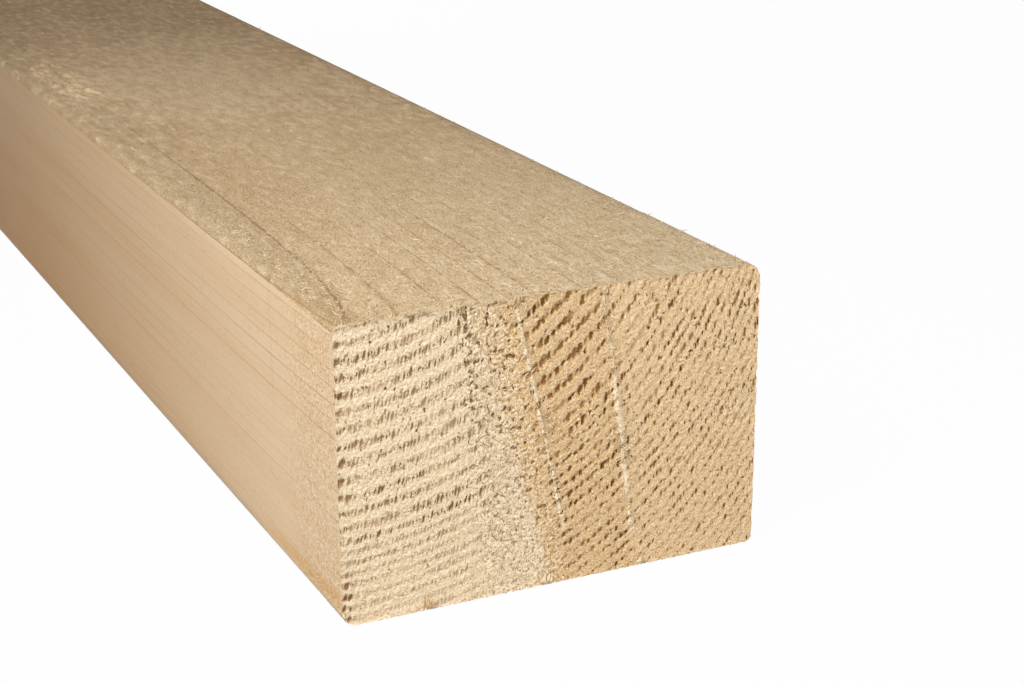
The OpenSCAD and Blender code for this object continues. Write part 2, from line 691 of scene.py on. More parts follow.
    def crumbs(
        self, bench: Bench, ring: RingPoint, pulled: Socket, woolly: Socket, past_band: Socket, shake: Socket
    ) -> Socket:
        """Lays the ragged hollows between crumbs, thick in the woolly middle and crowded in the ragged band.

        Args:
            bench: The tree the nodes go into.
            ring: The point among the rings.
            pulled: The point on the end, drawn out downwards.
            woolly: One in the woolly middle.
            past_band: Millimetres past the ragged band.
            shake: Noise round a half that gathers the crumbs into clumps.

        Returns:
            How deep between crumbs the point is.
        """
        rough = {"Scale": 1 / self.crumb_size, "Detail": 2.0, "Roughness": 0.55}
        crumb = bench.add("TexNoise", pulled, at=rough)
        beside = bench.add("Math", past_band, operation="ABSOLUTE")
        at_band = bench.add("MapRange", beside, self.band_width, 0.0, 0.0, self.band_crowd, **SMOOTH)
        depths = self.band_start, self.band_full
        upper = bench.add("MapRange", ring.down, *depths, self.low_band, 1.0, **SMOOTH)
        at_band = bench.add("Math", at_band, upper, operation="MULTIPLY")
        crowd = bench.add("MapRange", woolly, 0.0, 1.0, self.stray_crowd, self.woolly_crowd)
        clump = bench.add("MapRange", shake, *self.clump_span, self.least_clump, self.most_clump)
        crowd = bench.add("Math", crowd, clump, operation="MULTIPLY")
        crowd = bench.add("Math", crowd, at_band, operation="MAXIMUM")
        flat = bench.add("CombineXYZ", ring.across, ring.down)
        for across, down, reach in self.breaks:
            gap = bench.add("VectorMath", flat, (across, down, 0.0), operation="DISTANCE", out=1)
            core = reach * self.break_core
            broken = bench.add("MapRange", gap, reach, core, 0.0, self.break_crowd, **SMOOTH)
            crowd = bench.add("Math", crowd, broken, operation="MAXIMUM")
        start = bench.add("MapRange", crowd, 0.0, 1.0, self.rare_crumb, self.common_crumb)
        full = bench.add("Math", start, self.crumb_slope, operation="ADD")
        depths = self.band_full, self.rows_fade_end
        depth = bench.add("MapRange", ring.down, *depths, self.crumb_depth, self.low_crumbs)
        return bench.add("MapRange", crumb, start, full, 0.0, depth)


# Finishes


@dataclass(frozen=True)
class Finish:
    """A surface of the timber, made into a material."""

    rings: GrowthRings
    name: str = "timber"
    ior: float = 1.5
    specular: float = 0.08
    bump_depth: float = 0.4
    dull_span: tuple[float, float] = (0.3, 0.7)

    def dress(self, bench: Bench, position: Socket) -> tuple[Socket, Socket, Socket]:
        """Lays the nodes of the pattern, and returns its colour, roughness and height in millimetres."""
        raise NotImplementedError

    def material(self) -> bpy.types.Material:
        """Makes the material, with its pattern on object coordinates.

        Returns:
            The material.
        """
        material = bpy.data.materials.new(self.name)
        material.use_nodes = True
        material.node_tree.nodes.clear()
        bench = Bench(material.node_tree)
        position = bench.add("TexCoord", out="Object")
        colour, roughness, height = self.dress(bench, position)
        normal = bench.add("Bump", at={"Height": height, "Distance": self.bump_depth * MM})
        looks = {"Base Color": colour, "Roughness": roughness, "Normal": normal}
        fixed = {"IOR": self.ior, "Specular IOR Level": self.specular}
        shader = bench.add("BsdfPrincipled", at={**looks, **fixed})
        bench.add("OutputMaterial", shader)
        return material


@dataclass(frozen=True)
class PlanedSpruce(Finish):
    """Spruce off the planer: smooth and pale, with thin tan lines where each ring ends."""

    name: str = "smooth_planed_spruce"
    specular: float = 0.15
    bump_depth: float = 0.25
    early: str = "#E0C49F"
    warm: str = "#C9985A"
    late: str = "#BE8E54"
    fleck: str = "#AE7F48"
    chaff: str = "#F3E1C4"
    stripe: str = "#D2A05F"
    line_start: float = 0.72
    line_full: float = 0.94
    line_strength: float = 0.85
    faint_line: float = 0.24
    line_bias: float = 1.6
    speckled_line: float = 0.7
    line_length: float = 120.0
    broken_span: tuple[float, float] = (0.4, 0.62)
    broken_line: float = 0.45
    line_depth: tuple[float, float] = (22.0, 48.0)
    low_line: float = 0.6
    streak_width: float = 7.0
    streak_length: float = 190.0
    streak_span: tuple[float, float] = (0.38, 0.68)
    streak_warmth: float = 0.16
    low_warmth: float = 1.0
    far_warmth: float = 0.46
    warm_reach: float = 330.0
    fleck_width: float = 0.45
    fleck_length: float = 3.2
    fleck_span: tuple[float, float] = (0.58, 0.76)
    fleck_strength: float = 0.26
    rough_reach: float = 40.0
    rough_edge: float = 16.0
    # Planing dust is finer than the picture can show, so the grit is drawn as coarse as it needs
    grit: float = 0.58
    speck_span: tuple[float, float] = (0.53, 0.66)
    speck_strength: float = 0.55
    chaff_span: tuple[float, float] = (0.46, 0.34)
    chaff_strength: float = 0.6
    snipe: float = 47.0
    snipe_width: float = 1.2
    snipe_strength: float = 0.13
    stripe_radius: float = 143.0
    stripe_width: float = 2.4
    stripe_reach: float = 72.0
    stripe_strength: float = 0.6
    mark_depth: float = 0.5
    smooth_grit: float = 0.12
    coarse_grit: float = 0.8
    smooth_roughness: float = 0.5
    coarse_roughness: float = 0.72

    def snipe_mark(self, bench: Bench, ring: RingPoint) -> Socket:
        """Lays the faint line across the upper front where the planer bit at the end.

        Args:
            bench: The material's tree.
            ring: The point among the rings.

        Returns:
            How strong the line is at the point.
        """
        off = bench.add("Math", ring.behind, self.snipe, operation="SUBTRACT")
        beside = bench.add("Math", off, operation="ABSOLUTE")
        mark = bench.add("MapRange", beside, self.snipe_width, 0.0, 0.0, self.snipe_strength, **SMOOTH)
        upper = bench.add("MapRange", ring.down, *self.line_depth, 1.0, 0.0, **SMOOTH)
        return bench.add("Math", mark, upper, operation="MULTIPLY")

    def dress(self, bench: Bench, position: Socket) -> tuple[Socket, Socket, Socket]:
        """Lays ring lines, long streaks, resin flecks and the speckled band behind the shown end.

        Args:
            bench: The material's tree.
            position: The point in metres.

        Returns:
            Colour, roughness and height.
        """
        ring = self.rings.lay(bench, position)
        line = ring.late_line(bench, self.line_start, self.line_full)
        luck = bench.add("TexWhiteNoise", at={"W": ring.count}, noise_dimensions="1D")
        luck = bench.add("Math", luck, self.line_bias, operation="POWER")
        strength = bench.add("MapRange", luck, 0.0, 1.0, self.faint_line, self.line_strength)
        line = bench.add("Math", line, strength, operation="MULTIPLY")
        drift = bench.add("TexNoise", ring.place, at={"Scale": 1 / self.line_length, "Detail": 3.0})
        broken = bench.add("MapRange", drift, *self.broken_span, self.broken_line, 1.0, **SMOOTH)
        line = bench.add("Math", line, broken, operation="MULTIPLY")
        upper = bench.add("MapRange", ring.down, *self.line_depth, 1.0, self.low_line, **SMOOTH)
        line = bench.add("Math", line, upper, operation="MULTIPLY")
        long, thin = 1 / self.streak_length, 1 / self.streak_width
        streaked = bench.add("VectorMath", ring.place, (long, thin, thin), operation="MULTIPLY")
        streak = bench.add("TexNoise", streaked, at={"Scale": 1.0, "Detail": 3.0})
        warmth = bench.add("MapRange", streak, *self.streak_span, 0.0, self.streak_warmth, **SMOOTH)
        deep = self.rings.stock.top - self.rings.stock.under
        low = bench.add("MapRange", ring.down, 0.0, deep, self.far_warmth, self.low_warmth)
        away = bench.add("MapRange", ring.behind, self.rough_reach, self.warm_reach, 0.0, 1.0)
        warmth = bench.add("Math", low, away, warmth, operation="MULTIPLY_ADD")
        long, thin = 1 / self.fleck_length, 1 / self.fleck_width
        flecked = bench.add("VectorMath", ring.place, (long, thin, thin), operation="MULTIPLY")
        fleck = bench.add("TexNoise", flecked, at={"Scale": 1.0, "Detail": 1.0})
        flecks = bench.add("MapRange", fleck, *self.fleck_span, 0.0, self.fleck_strength, **SMOOTH)
        grit = bench.add("TexNoise", ring.place, at={"Scale": 1 / self.grit, "Detail": 2.0})
        shaken = bench.add("Math", streak, self.rough_edge, ring.behind, operation="MULTIPLY_ADD")
        start, end = self.rough_reach + self.rough_edge, self.rough_reach - self.rough_edge
        rough = bench.add("MapRange", shaken, start, end, 0.0, 1.0, **SMOOTH)
        covered = bench.add("MapRange", rough, 0.0, 1.0, 1.0, self.speckled_line)
        line = bench.add("Math", line, covered, operation="MULTIPLY")
        specks = bench.add("MapRange", grit, *self.speck_span, 0.0, self.speck_strength, **SMOOTH)
        specks = bench.add("Math", specks, rough, operation="MULTIPLY")
        chaff = bench.add("MapRange", grit, *self.chaff_span, 0.0, self.chaff_strength, **SMOOTH)
        chaff = bench.add("Math", chaff, rough, operation="MULTIPLY")
        marks = bench.add("Math", flecks, specks, operation="MAXIMUM")
        marks = bench.add("Math", marks, self.snipe_mark(bench, ring), operation="MAXIMUM")
        off = bench.add("Math", ring.radius, self.stripe_radius, operation="SUBTRACT")
        beside = bench.add("Math", off, operation="ABSOLUTE")
        widths = self.stripe_width, self.stripe_width / 2
        stripe = bench.add("MapRange", beside, *widths, 0.0, self.stripe_strength, **SMOOTH)
        near = bench.add("MapRange", ring.behind, self.stripe_reach, self.rough_reach, 0.0, 1.0, **SMOOTH)
        stripe = bench.add("Math", stripe, near, operation="MULTIPLY")
        paints = (self.warm, self.stripe, self.late, self.chaff, self.fleck)
        colour = linear(self.early)
        for share, paint in zip((warmth, stripe, line, chaff, marks), paints):
            pair = {FIRST_COLOUR: colour, SECOND_COLOUR: linear(paint)}
            colour = bench.add("Mix", share, at=pair, **COLOUR)
        roughness = bench.add("MapRange", rough, 0.0, 1.0, self.smooth_roughness, self.coarse_roughness)
        sunk = bench.add("Math", marks, -self.mark_depth, line, operation="MULTIPLY_ADD")
        gritty = bench.add("MapRange", rough, 0.0, 1.0, self.smooth_grit, self.coarse_grit)
        height = bench.add("Math", grit, gritty, sunk, operation="MULTIPLY_ADD")
        return colour, roughness, height


@dataclass(frozen=True)
class WoollySpruce(Finish):
    """Spruce that a blunt planer lifted: dull and warm, with a short nap over thin ring lines."""

    name: str = "woolly_planed_spruce"
    bump_depth: float = 0.6
    nap: str = "#D5BB95"
    near_strip: str = "#B8A07C"
    strip: str = "#DCC3A0"
    far_nap: str = "#E2C096"
    # The nap's dark and pale tones are partly its own uneven colour and partly painted shade in its hollows
    # and painted highlights on its tufts
    hollow_shade: str = "#A68456"
    tuft: str = "#F2E2C4"
    far_tuft: str = "#FBDDB3"
    late: str = "#9A7140"
    line_start: float = 0.88
    line_full: float = 0.95
    line_strength: float = 1.0
    faint_line: float = 0.6
    broken_span: tuple[float, float] = (0.35, 0.6)
    broken_line: float = 0.5
    line_fade: tuple[float, float] = (40.0, 150.0)
    first_fade: tuple[float, float] = (90.0, 280.0)
    far_line: float = 0.15
    # A broad paler place on the far top, where the dark hollows are also thinned
    far_pale: str = "#F7D9B2"
    pale_spot: tuple[float, float] = (300.0, 50.0)
    pale_reach: tuple[float, float] = (150.0, 90.0)
    pale_share: float = 0.5
    pale_lift: float = 0.34
    strip_radius: float = 70.4
    strip_edge: float = 0.5
    first_line: float = 0.8
    first_width: float = 1.0
    # Real fibres are finer than the picture can show, so the nap is drawn as coarse as it needs
    nap_size: float = 0.42
    nap_stretch: float = 2.2
    nap_share: float = 1.8
    strip_nap: float = 1.8
    far_nap_share: float = 0.28
    clump_size: float = 3.2
    clump_stretch: float = 2.4
    clump_share: float = 2.2
    clump_height: float = 0.7
    fleck_span: tuple[float, float] = (0.57, 0.68)
    fleck_share: float = 0.3
    far_hollow: float = 0.45
    paler_hollow: float = 0.3
    tuft_size: float = 6.0
    tuft_stretch: float = 1.8
    tuft_share: float = 1.5
    tuft_start: tuple[float, float] = (170.0, 260.0)
    tuft_end: tuple[float, float] = (430.0, 560.0)
    band_length: float = 40.0
    band_width: float = 26.0
    band_share: float = 0.9
    far_start: float = 90.0
    far_full: float = 290.0
    near_share: float = 0.35
    # Painted shade on the front arris, so that its rounded edge shows no brighter than the top beside it
    arris_painted_shade: float = 0.06
    arris_reach: tuple[float, float] = (2.0, 0.5)
    notch: float = 47.0
    notch_length: float = 2.2
    notch_width: float = 1.8
    notch_core: float = 1 / 3
    notch_strength: float = 0.5
    # Painted shade and light across the top: darker towards the front arris and lighter towards the back,
    # standing in for how the light falls across it
    front_painted_shade: float = 0.1
    back_painted_light: float = -0.1
    shade_reach: float = 90.0
    full_shade: float = 0.6
    dull_roughness: float = 0.85

    def ring_lines(self, bench: Bench, ring: RingPoint, clump: Socket) -> Socket:
        """Lays the thin ends of the rings, broken where the nap lies over them.

        Args:
            bench: The material's tree.
            ring: The point among the rings.
            clump: Noise that changes from tuft to tuft.

        Returns:
            How strong a line is at the point.
        """
        line = ring.late_line(bench, self.line_start, self.line_full)
        luck = bench.add("TexWhiteNoise", at={"W": ring.count}, noise_dimensions="1D")
        strength = bench.add("MapRange", luck, 0.0, 1.0, self.faint_line, self.line_strength)
        broken = bench.add("MapRange", clump, *self.broken_span, 1.0, self.broken_line)
        strength = bench.add("Math", strength, broken, operation="MULTIPLY")
        near = bench.add("MapRange", ring.behind, *self.line_fade, 1.0, self.far_line, **SMOOTH)
        strength = bench.add("Math", strength, near, operation="MULTIPLY")
        inner = self.strip_radius + self.first_width
        first = bench.add("MapRange", ring.radius, inner + self.first_width, inner, 0.0, self.first_line)
        kept = bench.add("MapRange", ring.behind, *self.first_fade, 1.0, self.far_line, **SMOOTH)
        first = bench.add("Math", first, kept, operation="MULTIPLY")
        strength = bench.add("Math", strength, first, operation="MAXIMUM")
        return bench.add("Math", line, strength, operation="MULTIPLY")

    def arris_notch(self, bench: Bench, ring: RingPoint) -> Socket:
        """Lays the small dark notch in the front arris.

        Args:
            bench: The material's tree.
            ring: The point among the rings.

        Returns:
            How dark the notch is at the point.
        """
        off = bench.add("Math", ring.behind, self.notch, operation="SUBTRACT")
        off = bench.add("Math", off, operation="ABSOLUTE")
        lengths = self.notch_length, self.notch_length * self.notch_core
        there = bench.add("MapRange", off, *lengths, 0.0, self.notch_strength, **SMOOTH)
        widths = self.notch_width, self.notch_width * self.notch_core
        near = bench.add("MapRange", ring.across, *widths, 0.0, 1.0, **SMOOTH)
        return bench.add("Math", there, near, operation="MULTIPLY")

    def pale_place(self, bench: Bench, ring: RingPoint) -> Socket:
        """Lays the paler place on the top.

        Args:
            bench: The material's tree.
            ring: The point among the rings.

        Returns:
            Its full share at its middle, and nought past its reach.
        """
        flat = bench.add("CombineXYZ", ring.behind, ring.across)
        shares = (1 / self.pale_reach[0], 1 / self.pale_reach[1], 0.0)
        off = bench.add("VectorMath", flat, (*self.pale_spot, 0.0), operation="SUBTRACT")
        off = bench.add("VectorMath", off, shares, operation="MULTIPLY")
        gap = bench.add("VectorMath", off, operation="LENGTH", out=1)
        return bench.add("MapRange", gap, 1.0, 0.0, 0.0, self.pale_share, **SMOOTH)

    def soft_tufts(self, bench: Bench, ring: RingPoint) -> Socket:
        """Lays the soft tufts across the farther part of the top, partly paler fibre and partly painted
        highlight and shade, with no relief of their own.

        Args:
            bench: The material's tree.
            ring: The point among the rings.

        Returns:
            A shade round nought, paler on the tufts.
        """
        soft = {"Scale": 1 / self.tuft_size, "Detail": 3.0, "Roughness": 0.6}
        drawn = bench.add("VectorMath", ring.place, (1 / self.tuft_stretch, 1.0, 1.0), operation="MULTIPLY")
        noise = bench.add("TexNoise", drawn, at=soft)
        tuft = self.centred(bench, noise, self.tuft_share)
        begun = bench.add("MapRange", ring.behind, *self.tuft_start, 0.0, 1.0, **SMOOTH)
        ended = bench.add("MapRange", ring.behind, *self.tuft_end, 1.0, 0.0, **SMOOTH)
        there = bench.add("Math", begun, ended, operation="MULTIPLY")
        return bench.add("Math", tuft, there, operation="MULTIPLY")

    def centred(self, bench: Bench, noise: Socket, share: Feed) -> Socket:
        """Lays the nodes that bring noise round nought and scale it."""
        swing = bench.add("Math", noise, 0.5, operation="SUBTRACT")
        return bench.add("Math", swing, share, operation="MULTIPLY")

    def dress(self, bench: Bench, position: Socket) -> tuple[Socket, Socket, Socket]:
        """Lays the nap, its clumps, the cross bands, the greyer strip and the ring lines.

        Args:
            bench: The material's tree.
            position: The point in metres.

        Returns:
            Colour, roughness and height.
        """
        ring = self.rings.lay(bench, position)
        pulled = bench.add("VectorMath", ring.place, (1 / self.nap_stretch, 1.0, 1.0), operation="MULTIPLY")
        nap = bench.add("TexNoise", pulled, at={"Scale": 1 / self.nap_size, "Detail": 2.0, "Roughness": 0.6})
        spread = bench.add("VectorMath", ring.place, (1 / self.clump_stretch, 1.0, 1.0), operation="MULTIPLY")
        lumpy = {"Scale": 1 / self.clump_size, "Detail": 3.0, "Roughness": 0.6}
        clump = bench.add("TexNoise", spread, at=lumpy)
        along, wide = 1 / self.band_length, 1 / self.band_width
        banded = bench.add("VectorMath", ring.place, (along, wide, wide), operation="MULTIPLY")
        band = bench.add("TexNoise", banded, at={"Scale": 1.0, "Detail": 3.0})
        distances = self.far_start, self.far_full
        far = bench.add("MapRange", ring.behind, *distances, self.near_share, 1.0, **SMOOTH)
        edges = self.strip_radius + self.strip_edge, self.strip_radius
        strip = bench.add("MapRange", ring.radius, *edges, 0.0, 1.0)
        nap_share = bench.add("MapRange", strip, 0.0, 1.0, self.nap_share, self.strip_nap)
        quiet = bench.add("MapRange", ring.behind, *distances, 1.0, self.far_nap_share, **SMOOTH)
        nap_share = bench.add("Math", nap_share, quiet, operation="MULTIPLY")
        shade = self.centred(bench, nap, nap_share)
        clumped = self.centred(bench, clump, self.clump_share)
        bands = self.centred(bench, band, self.band_share)
        flecks = bench.add("MapRange", clump, *self.fleck_span, 0.0, self.fleck_share, **SMOOTH)
        slow = bench.add("Math", clumped, bands, operation="ADD")
        slow = bench.add("Math", slow, flecks, operation="ADD")
        slow = bench.add("Math", slow, far, operation="MULTIPLY")
        shade = bench.add("Math", shade, slow, operation="ADD")
        shade = bench.add("Math", shade, self.soft_tufts(bench, ring), operation="ADD")
        # The broad paler place on the far top lifts the tone and thins the dark hollows there
        paler = self.pale_place(bench, ring)
        shade = bench.add("Math", paler, self.pale_lift, shade, operation="MULTIPLY_ADD")
        # Painted shade along the front arris
        painted_arris_shade = bench.add("MapRange", ring.across, *self.arris_reach, 0.0, self.arris_painted_shade, **SMOOTH)
        shade = bench.add("Math", shade, painted_arris_shade, operation="SUBTRACT")
        # Painted shade towards the front of the top and painted light towards the back
        shades = self.front_painted_shade, self.back_painted_light
        painted_light_across = bench.add("MapRange", ring.across, 0.0, self.shade_reach, *shades)
        shade = bench.add("Math", shade, painted_light_across, operation="SUBTRACT")
        # Painted shade in the nap's hollows and painted highlights on its tufts, over its own uneven tone
        dark = bench.add("MapRange", shade, 0.0, -self.full_shade, 0.0, 1.0)
        faint = bench.add("MapRange", ring.behind, *distances, 1.0, self.far_hollow, **SMOOTH)
        faint = bench.add("Math", paler, -self.paler_hollow, faint, operation="MULTIPLY_ADD", use_clamp=True)
        dark = bench.add("Math", dark, faint, operation="MULTIPLY")
        light = bench.add("MapRange", shade, 0.0, self.full_shade, 0.0, 1.0)
        notch = self.arris_notch(bench, ring)
        line = bench.add("Math", self.ring_lines(bench, ring, clump), notch, operation="MAXIMUM")
        away = bench.add("MapRange", ring.behind, 0.0, self.far_full, 0.0, 1.0)
        grey = bench.add("Math", strip, quiet, operation="MULTIPLY")
        soon = bench.add("Math", away, operation="SQRT")
        strips = {FIRST_COLOUR: linear(self.near_strip), SECOND_COLOUR: linear(self.strip)}
        tufts = {FIRST_COLOUR: linear(self.tuft), SECOND_COLOUR: linear(self.far_tuft)}
        coats = (
            (away, linear(self.far_nap)),
            (paler, linear(self.far_pale)),
            (grey, bench.add("Mix", soon, at=strips, **COLOUR)),
            (dark, linear(self.hollow_shade)),
            (light, bench.add("Mix", away, at=tufts, **COLOUR)),
            (line, linear(self.late)),
        )
        colour = linear(self.nap)
        for share, coat in coats:
            pair = {FIRST_COLOUR: colour, SECOND_COLOUR: coat}
            colour = bench.add("Mix", share, at=pair, **COLOUR)
        roughness = bench.add("MapRange", nap, *self.dull_span, 1.0, self.dull_roughness)
        height = bench.add("Math", clump, self.clump_height, nap, operation="MULTIPLY_ADD")
        return colour, roughness, height


@dataclass(frozen=True)
class TornCrosscut(Finish):
    """End grain torn by a coarse saw: cream and combed in front, tan and pitted behind, sandy all over."""

    end: SawnEnd | None = None
    name: str = "torn_end_grain"
    bump_depth: float = 0.6
    cream: str = "#E4CDAC"
    tan: str = "#D5B283"
    buff: str = "#DCBB8F"
    pale_sand: str = "#F6E8CE"
    dark_sand: str = "#A27C49"
    # The hole colours are painted shade on the walls and bottoms of the torn holes, over their real relief,
    # tinted by zone
    wall_shade: str = "#BC925A"
    hole: str = "#684921"
    rusty_hole: str = "#85502B"
    olive_hole: str = "#8E6E42"
    comb_hole: str = "#6E5636"
    comb_wall_shade: str = "#B2946A"
    strand: str = "#F5E4C6"
    sand_share: float = 3.1
    lump_share: float = 0.8
    woolly_lumps: float = 2.4
    woolly_sand: float = 1.6
    woolly_dark: float = -0.06
    stripe_share: float = 1.4
    row_share: float = 0.04
    # In the combed front the rows are darkened more, as painted shade along the rows of teeth over the rings'
    # own tone
    comb_rows: float = 0.13
    last_rows: float = 0.1
    # How far the painted shade reaches into the holes' bottoms and walls
    hole_share: float = 0.85
    rim_share: float = 0.7
    lump_height: float = 0.5
    sand_height: float = 0.3
    dull_roughness: float = 0.9

    def dress(self, bench: Bench, position: Socket) -> tuple[Socket, Socket, Socket]:
        """Lays the zones, the sandy speckle, the holes and the pale strands.

        Args:
            bench: The material's tree.
            position: The point in metres.

        Returns:
            Colour, roughness and height.
        """
        point = self.end.lay(bench, position)
        middle = -(self.sand_share + self.lump_share + self.stripe_share) / 2
        shade = bench.add("Math", point.sand, self.sand_share, middle, operation="MULTIPLY_ADD")
        shade = bench.add("Math", point.lumps, self.lump_share, shade, operation="MULTIPLY_ADD")
        shade = bench.add("Math", point.stripes, self.stripe_share, shade, operation="MULTIPLY_ADD")
        middle = self.woolly_dark - (self.woolly_lumps + self.woolly_sand) / 2
        mottle = bench.add("Math", point.lumps, self.woolly_lumps, middle, operation="MULTIPLY_ADD")
        mottle = bench.add("Math", point.sand, self.woolly_sand, mottle, operation="MULTIPLY_ADD")
        shade = bench.add("Math", mottle, point.woolly, shade, operation="MULTIPLY_ADD")
        # Darker along the rows: the rings' own tone, and in the combed front also painted shade along the
        # teeth
        rows = bench.add("MapRange", point.pale, 0.0, 1.0, self.row_share, self.comb_rows)
        rows = bench.add("Mix", point.last, at={FIRST: rows, SECOND: self.last_rows})
        shade = bench.add("Math", point.rows, rows, shade, operation="MULTIPLY_ADD")
        dark = bench.add("MapRange", shade, 0.0, 1.0, 0.0, 1.0)
        light = bench.add("MapRange", shade, 0.0, -1.0, 0.0, 1.0)
        # Painted shade on the holes' walls, and deeper painted shade at their bottoms
        wall_shade_share = bench.add("MapRange", point.holes, 0.0, self.rim_share, 0.0, 1.0)
        depth = bench.add("MapRange", point.holes, self.rim_share / 2, 1.0, 0.0, self.hole_share)
        pit_shades = (
            (point.pale, self.comb_hole),
            (point.rust, self.rusty_hole),
            (point.woolly, self.olive_hole),
        )
        pit_shade = linear(self.hole)
        for share, paint in pit_shades:
            pit_shade = bench.add("Mix", share, at={FIRST_COLOUR: pit_shade, SECOND_COLOUR: linear(paint)}, **COLOUR)
        edges = {FIRST_COLOUR: linear(self.wall_shade), SECOND_COLOUR: linear(self.comb_wall_shade)}
        coats = (
            (point.last, linear(self.buff)),
            (point.pale, linear(self.cream)),
            (dark, linear(self.dark_sand)),
            (light, linear(self.pale_sand)),
            (point.strands, linear(self.strand)),
            (wall_shade_share, bench.add("Mix", point.pale, at=edges, **COLOUR)),
            (depth, pit_shade),
        )
        colour = linear(self.tan)
        for share, coat in coats:
            pair = {FIRST_COLOUR: colour, SECOND_COLOUR: coat}
            colour = bench.add("Mix", share, at=pair, **COLOUR)
        roughness = bench.add("MapRange", point.sand, *self.dull_span, 1.0, self.dull_roughness)
        rough = bench.add("Math", point.lumps, -self.lump_height, operation="MULTIPLY")
        rough = bench.add("Math", rough, point.holes, operation="SUBTRACT")
        height = bench.add("Math", point.sand, -self.sand_height, rough, operation="MULTIPLY_ADD")
        return colour, roughness, height


@dataclass(frozen=True)
class LooseFibre(Finish):
    """A lifted fibre of spruce: paler than the wood it came from, dull, and uneven in tone."""

    name: str = "loose_fibre"
    pale: str = "#E9D8B8"
    dull: str = "#CDB289"
    settled: str = "#D0AF82"
    settle_start: float = 50.0
    settle_end: float = 220.0
    settle_share: float = 0.8
    tone_size: float = 3.0
    tone_span: tuple[float, float] = (0.35, 0.65)
    dull_roughness: float = 0.8

    def dress(self, bench: Bench, position: Socket) -> tuple[Socket, Socket, Socket]:
        """Lays a slow change between two pale tones.

        Args:
            bench: The material's tree.
            position: The point in metres.

        Returns:
            Colour, roughness and height.
        """
        place = bench.add("VectorMath", position, at={"Scale": 1 / MM}, operation="SCALE")
        tone = bench.add("TexNoise", place, at={"Scale": 1 / self.tone_size, "Detail": 2.0})
        fresh = bench.add("MapRange", tone, *self.tone_span, 0.0, 1.0, **SMOOTH)
        x = bench.add("SeparateXYZ", place)
        behind = bench.add("Math", self.rings.stock.shown, x, operation="SUBTRACT")
        distances = self.settle_start, self.settle_end
        away = bench.add("MapRange", behind, *distances, 0.0, self.settle_share, **SMOOTH)
        colour = linear(self.dull)
        for share, paint in ((fresh, self.pale), (away, self.settled)):
            pair = {FIRST_COLOUR: colour, SECOND_COLOUR: linear(paint)}
            colour = bench.add("Mix", share, at=pair, **COLOUR)
        roughness = bench.add("MapRange", tone, *self.dull_span, 1.0, self.dull_roughness)
        return colour, roughness, tone


# The beam's own surface


class Side(Enum):
    """The four long sides, in the order in which the outline runs."""

    UNDER = 0
    BACK = 1
    TOP = 2
    FRONT = 3


class Surface(Enum):
    """The finishes on the beam, by their place in its list of materials."""

    PLANED = 0
    WOOLLY = 1
    TORN = 2


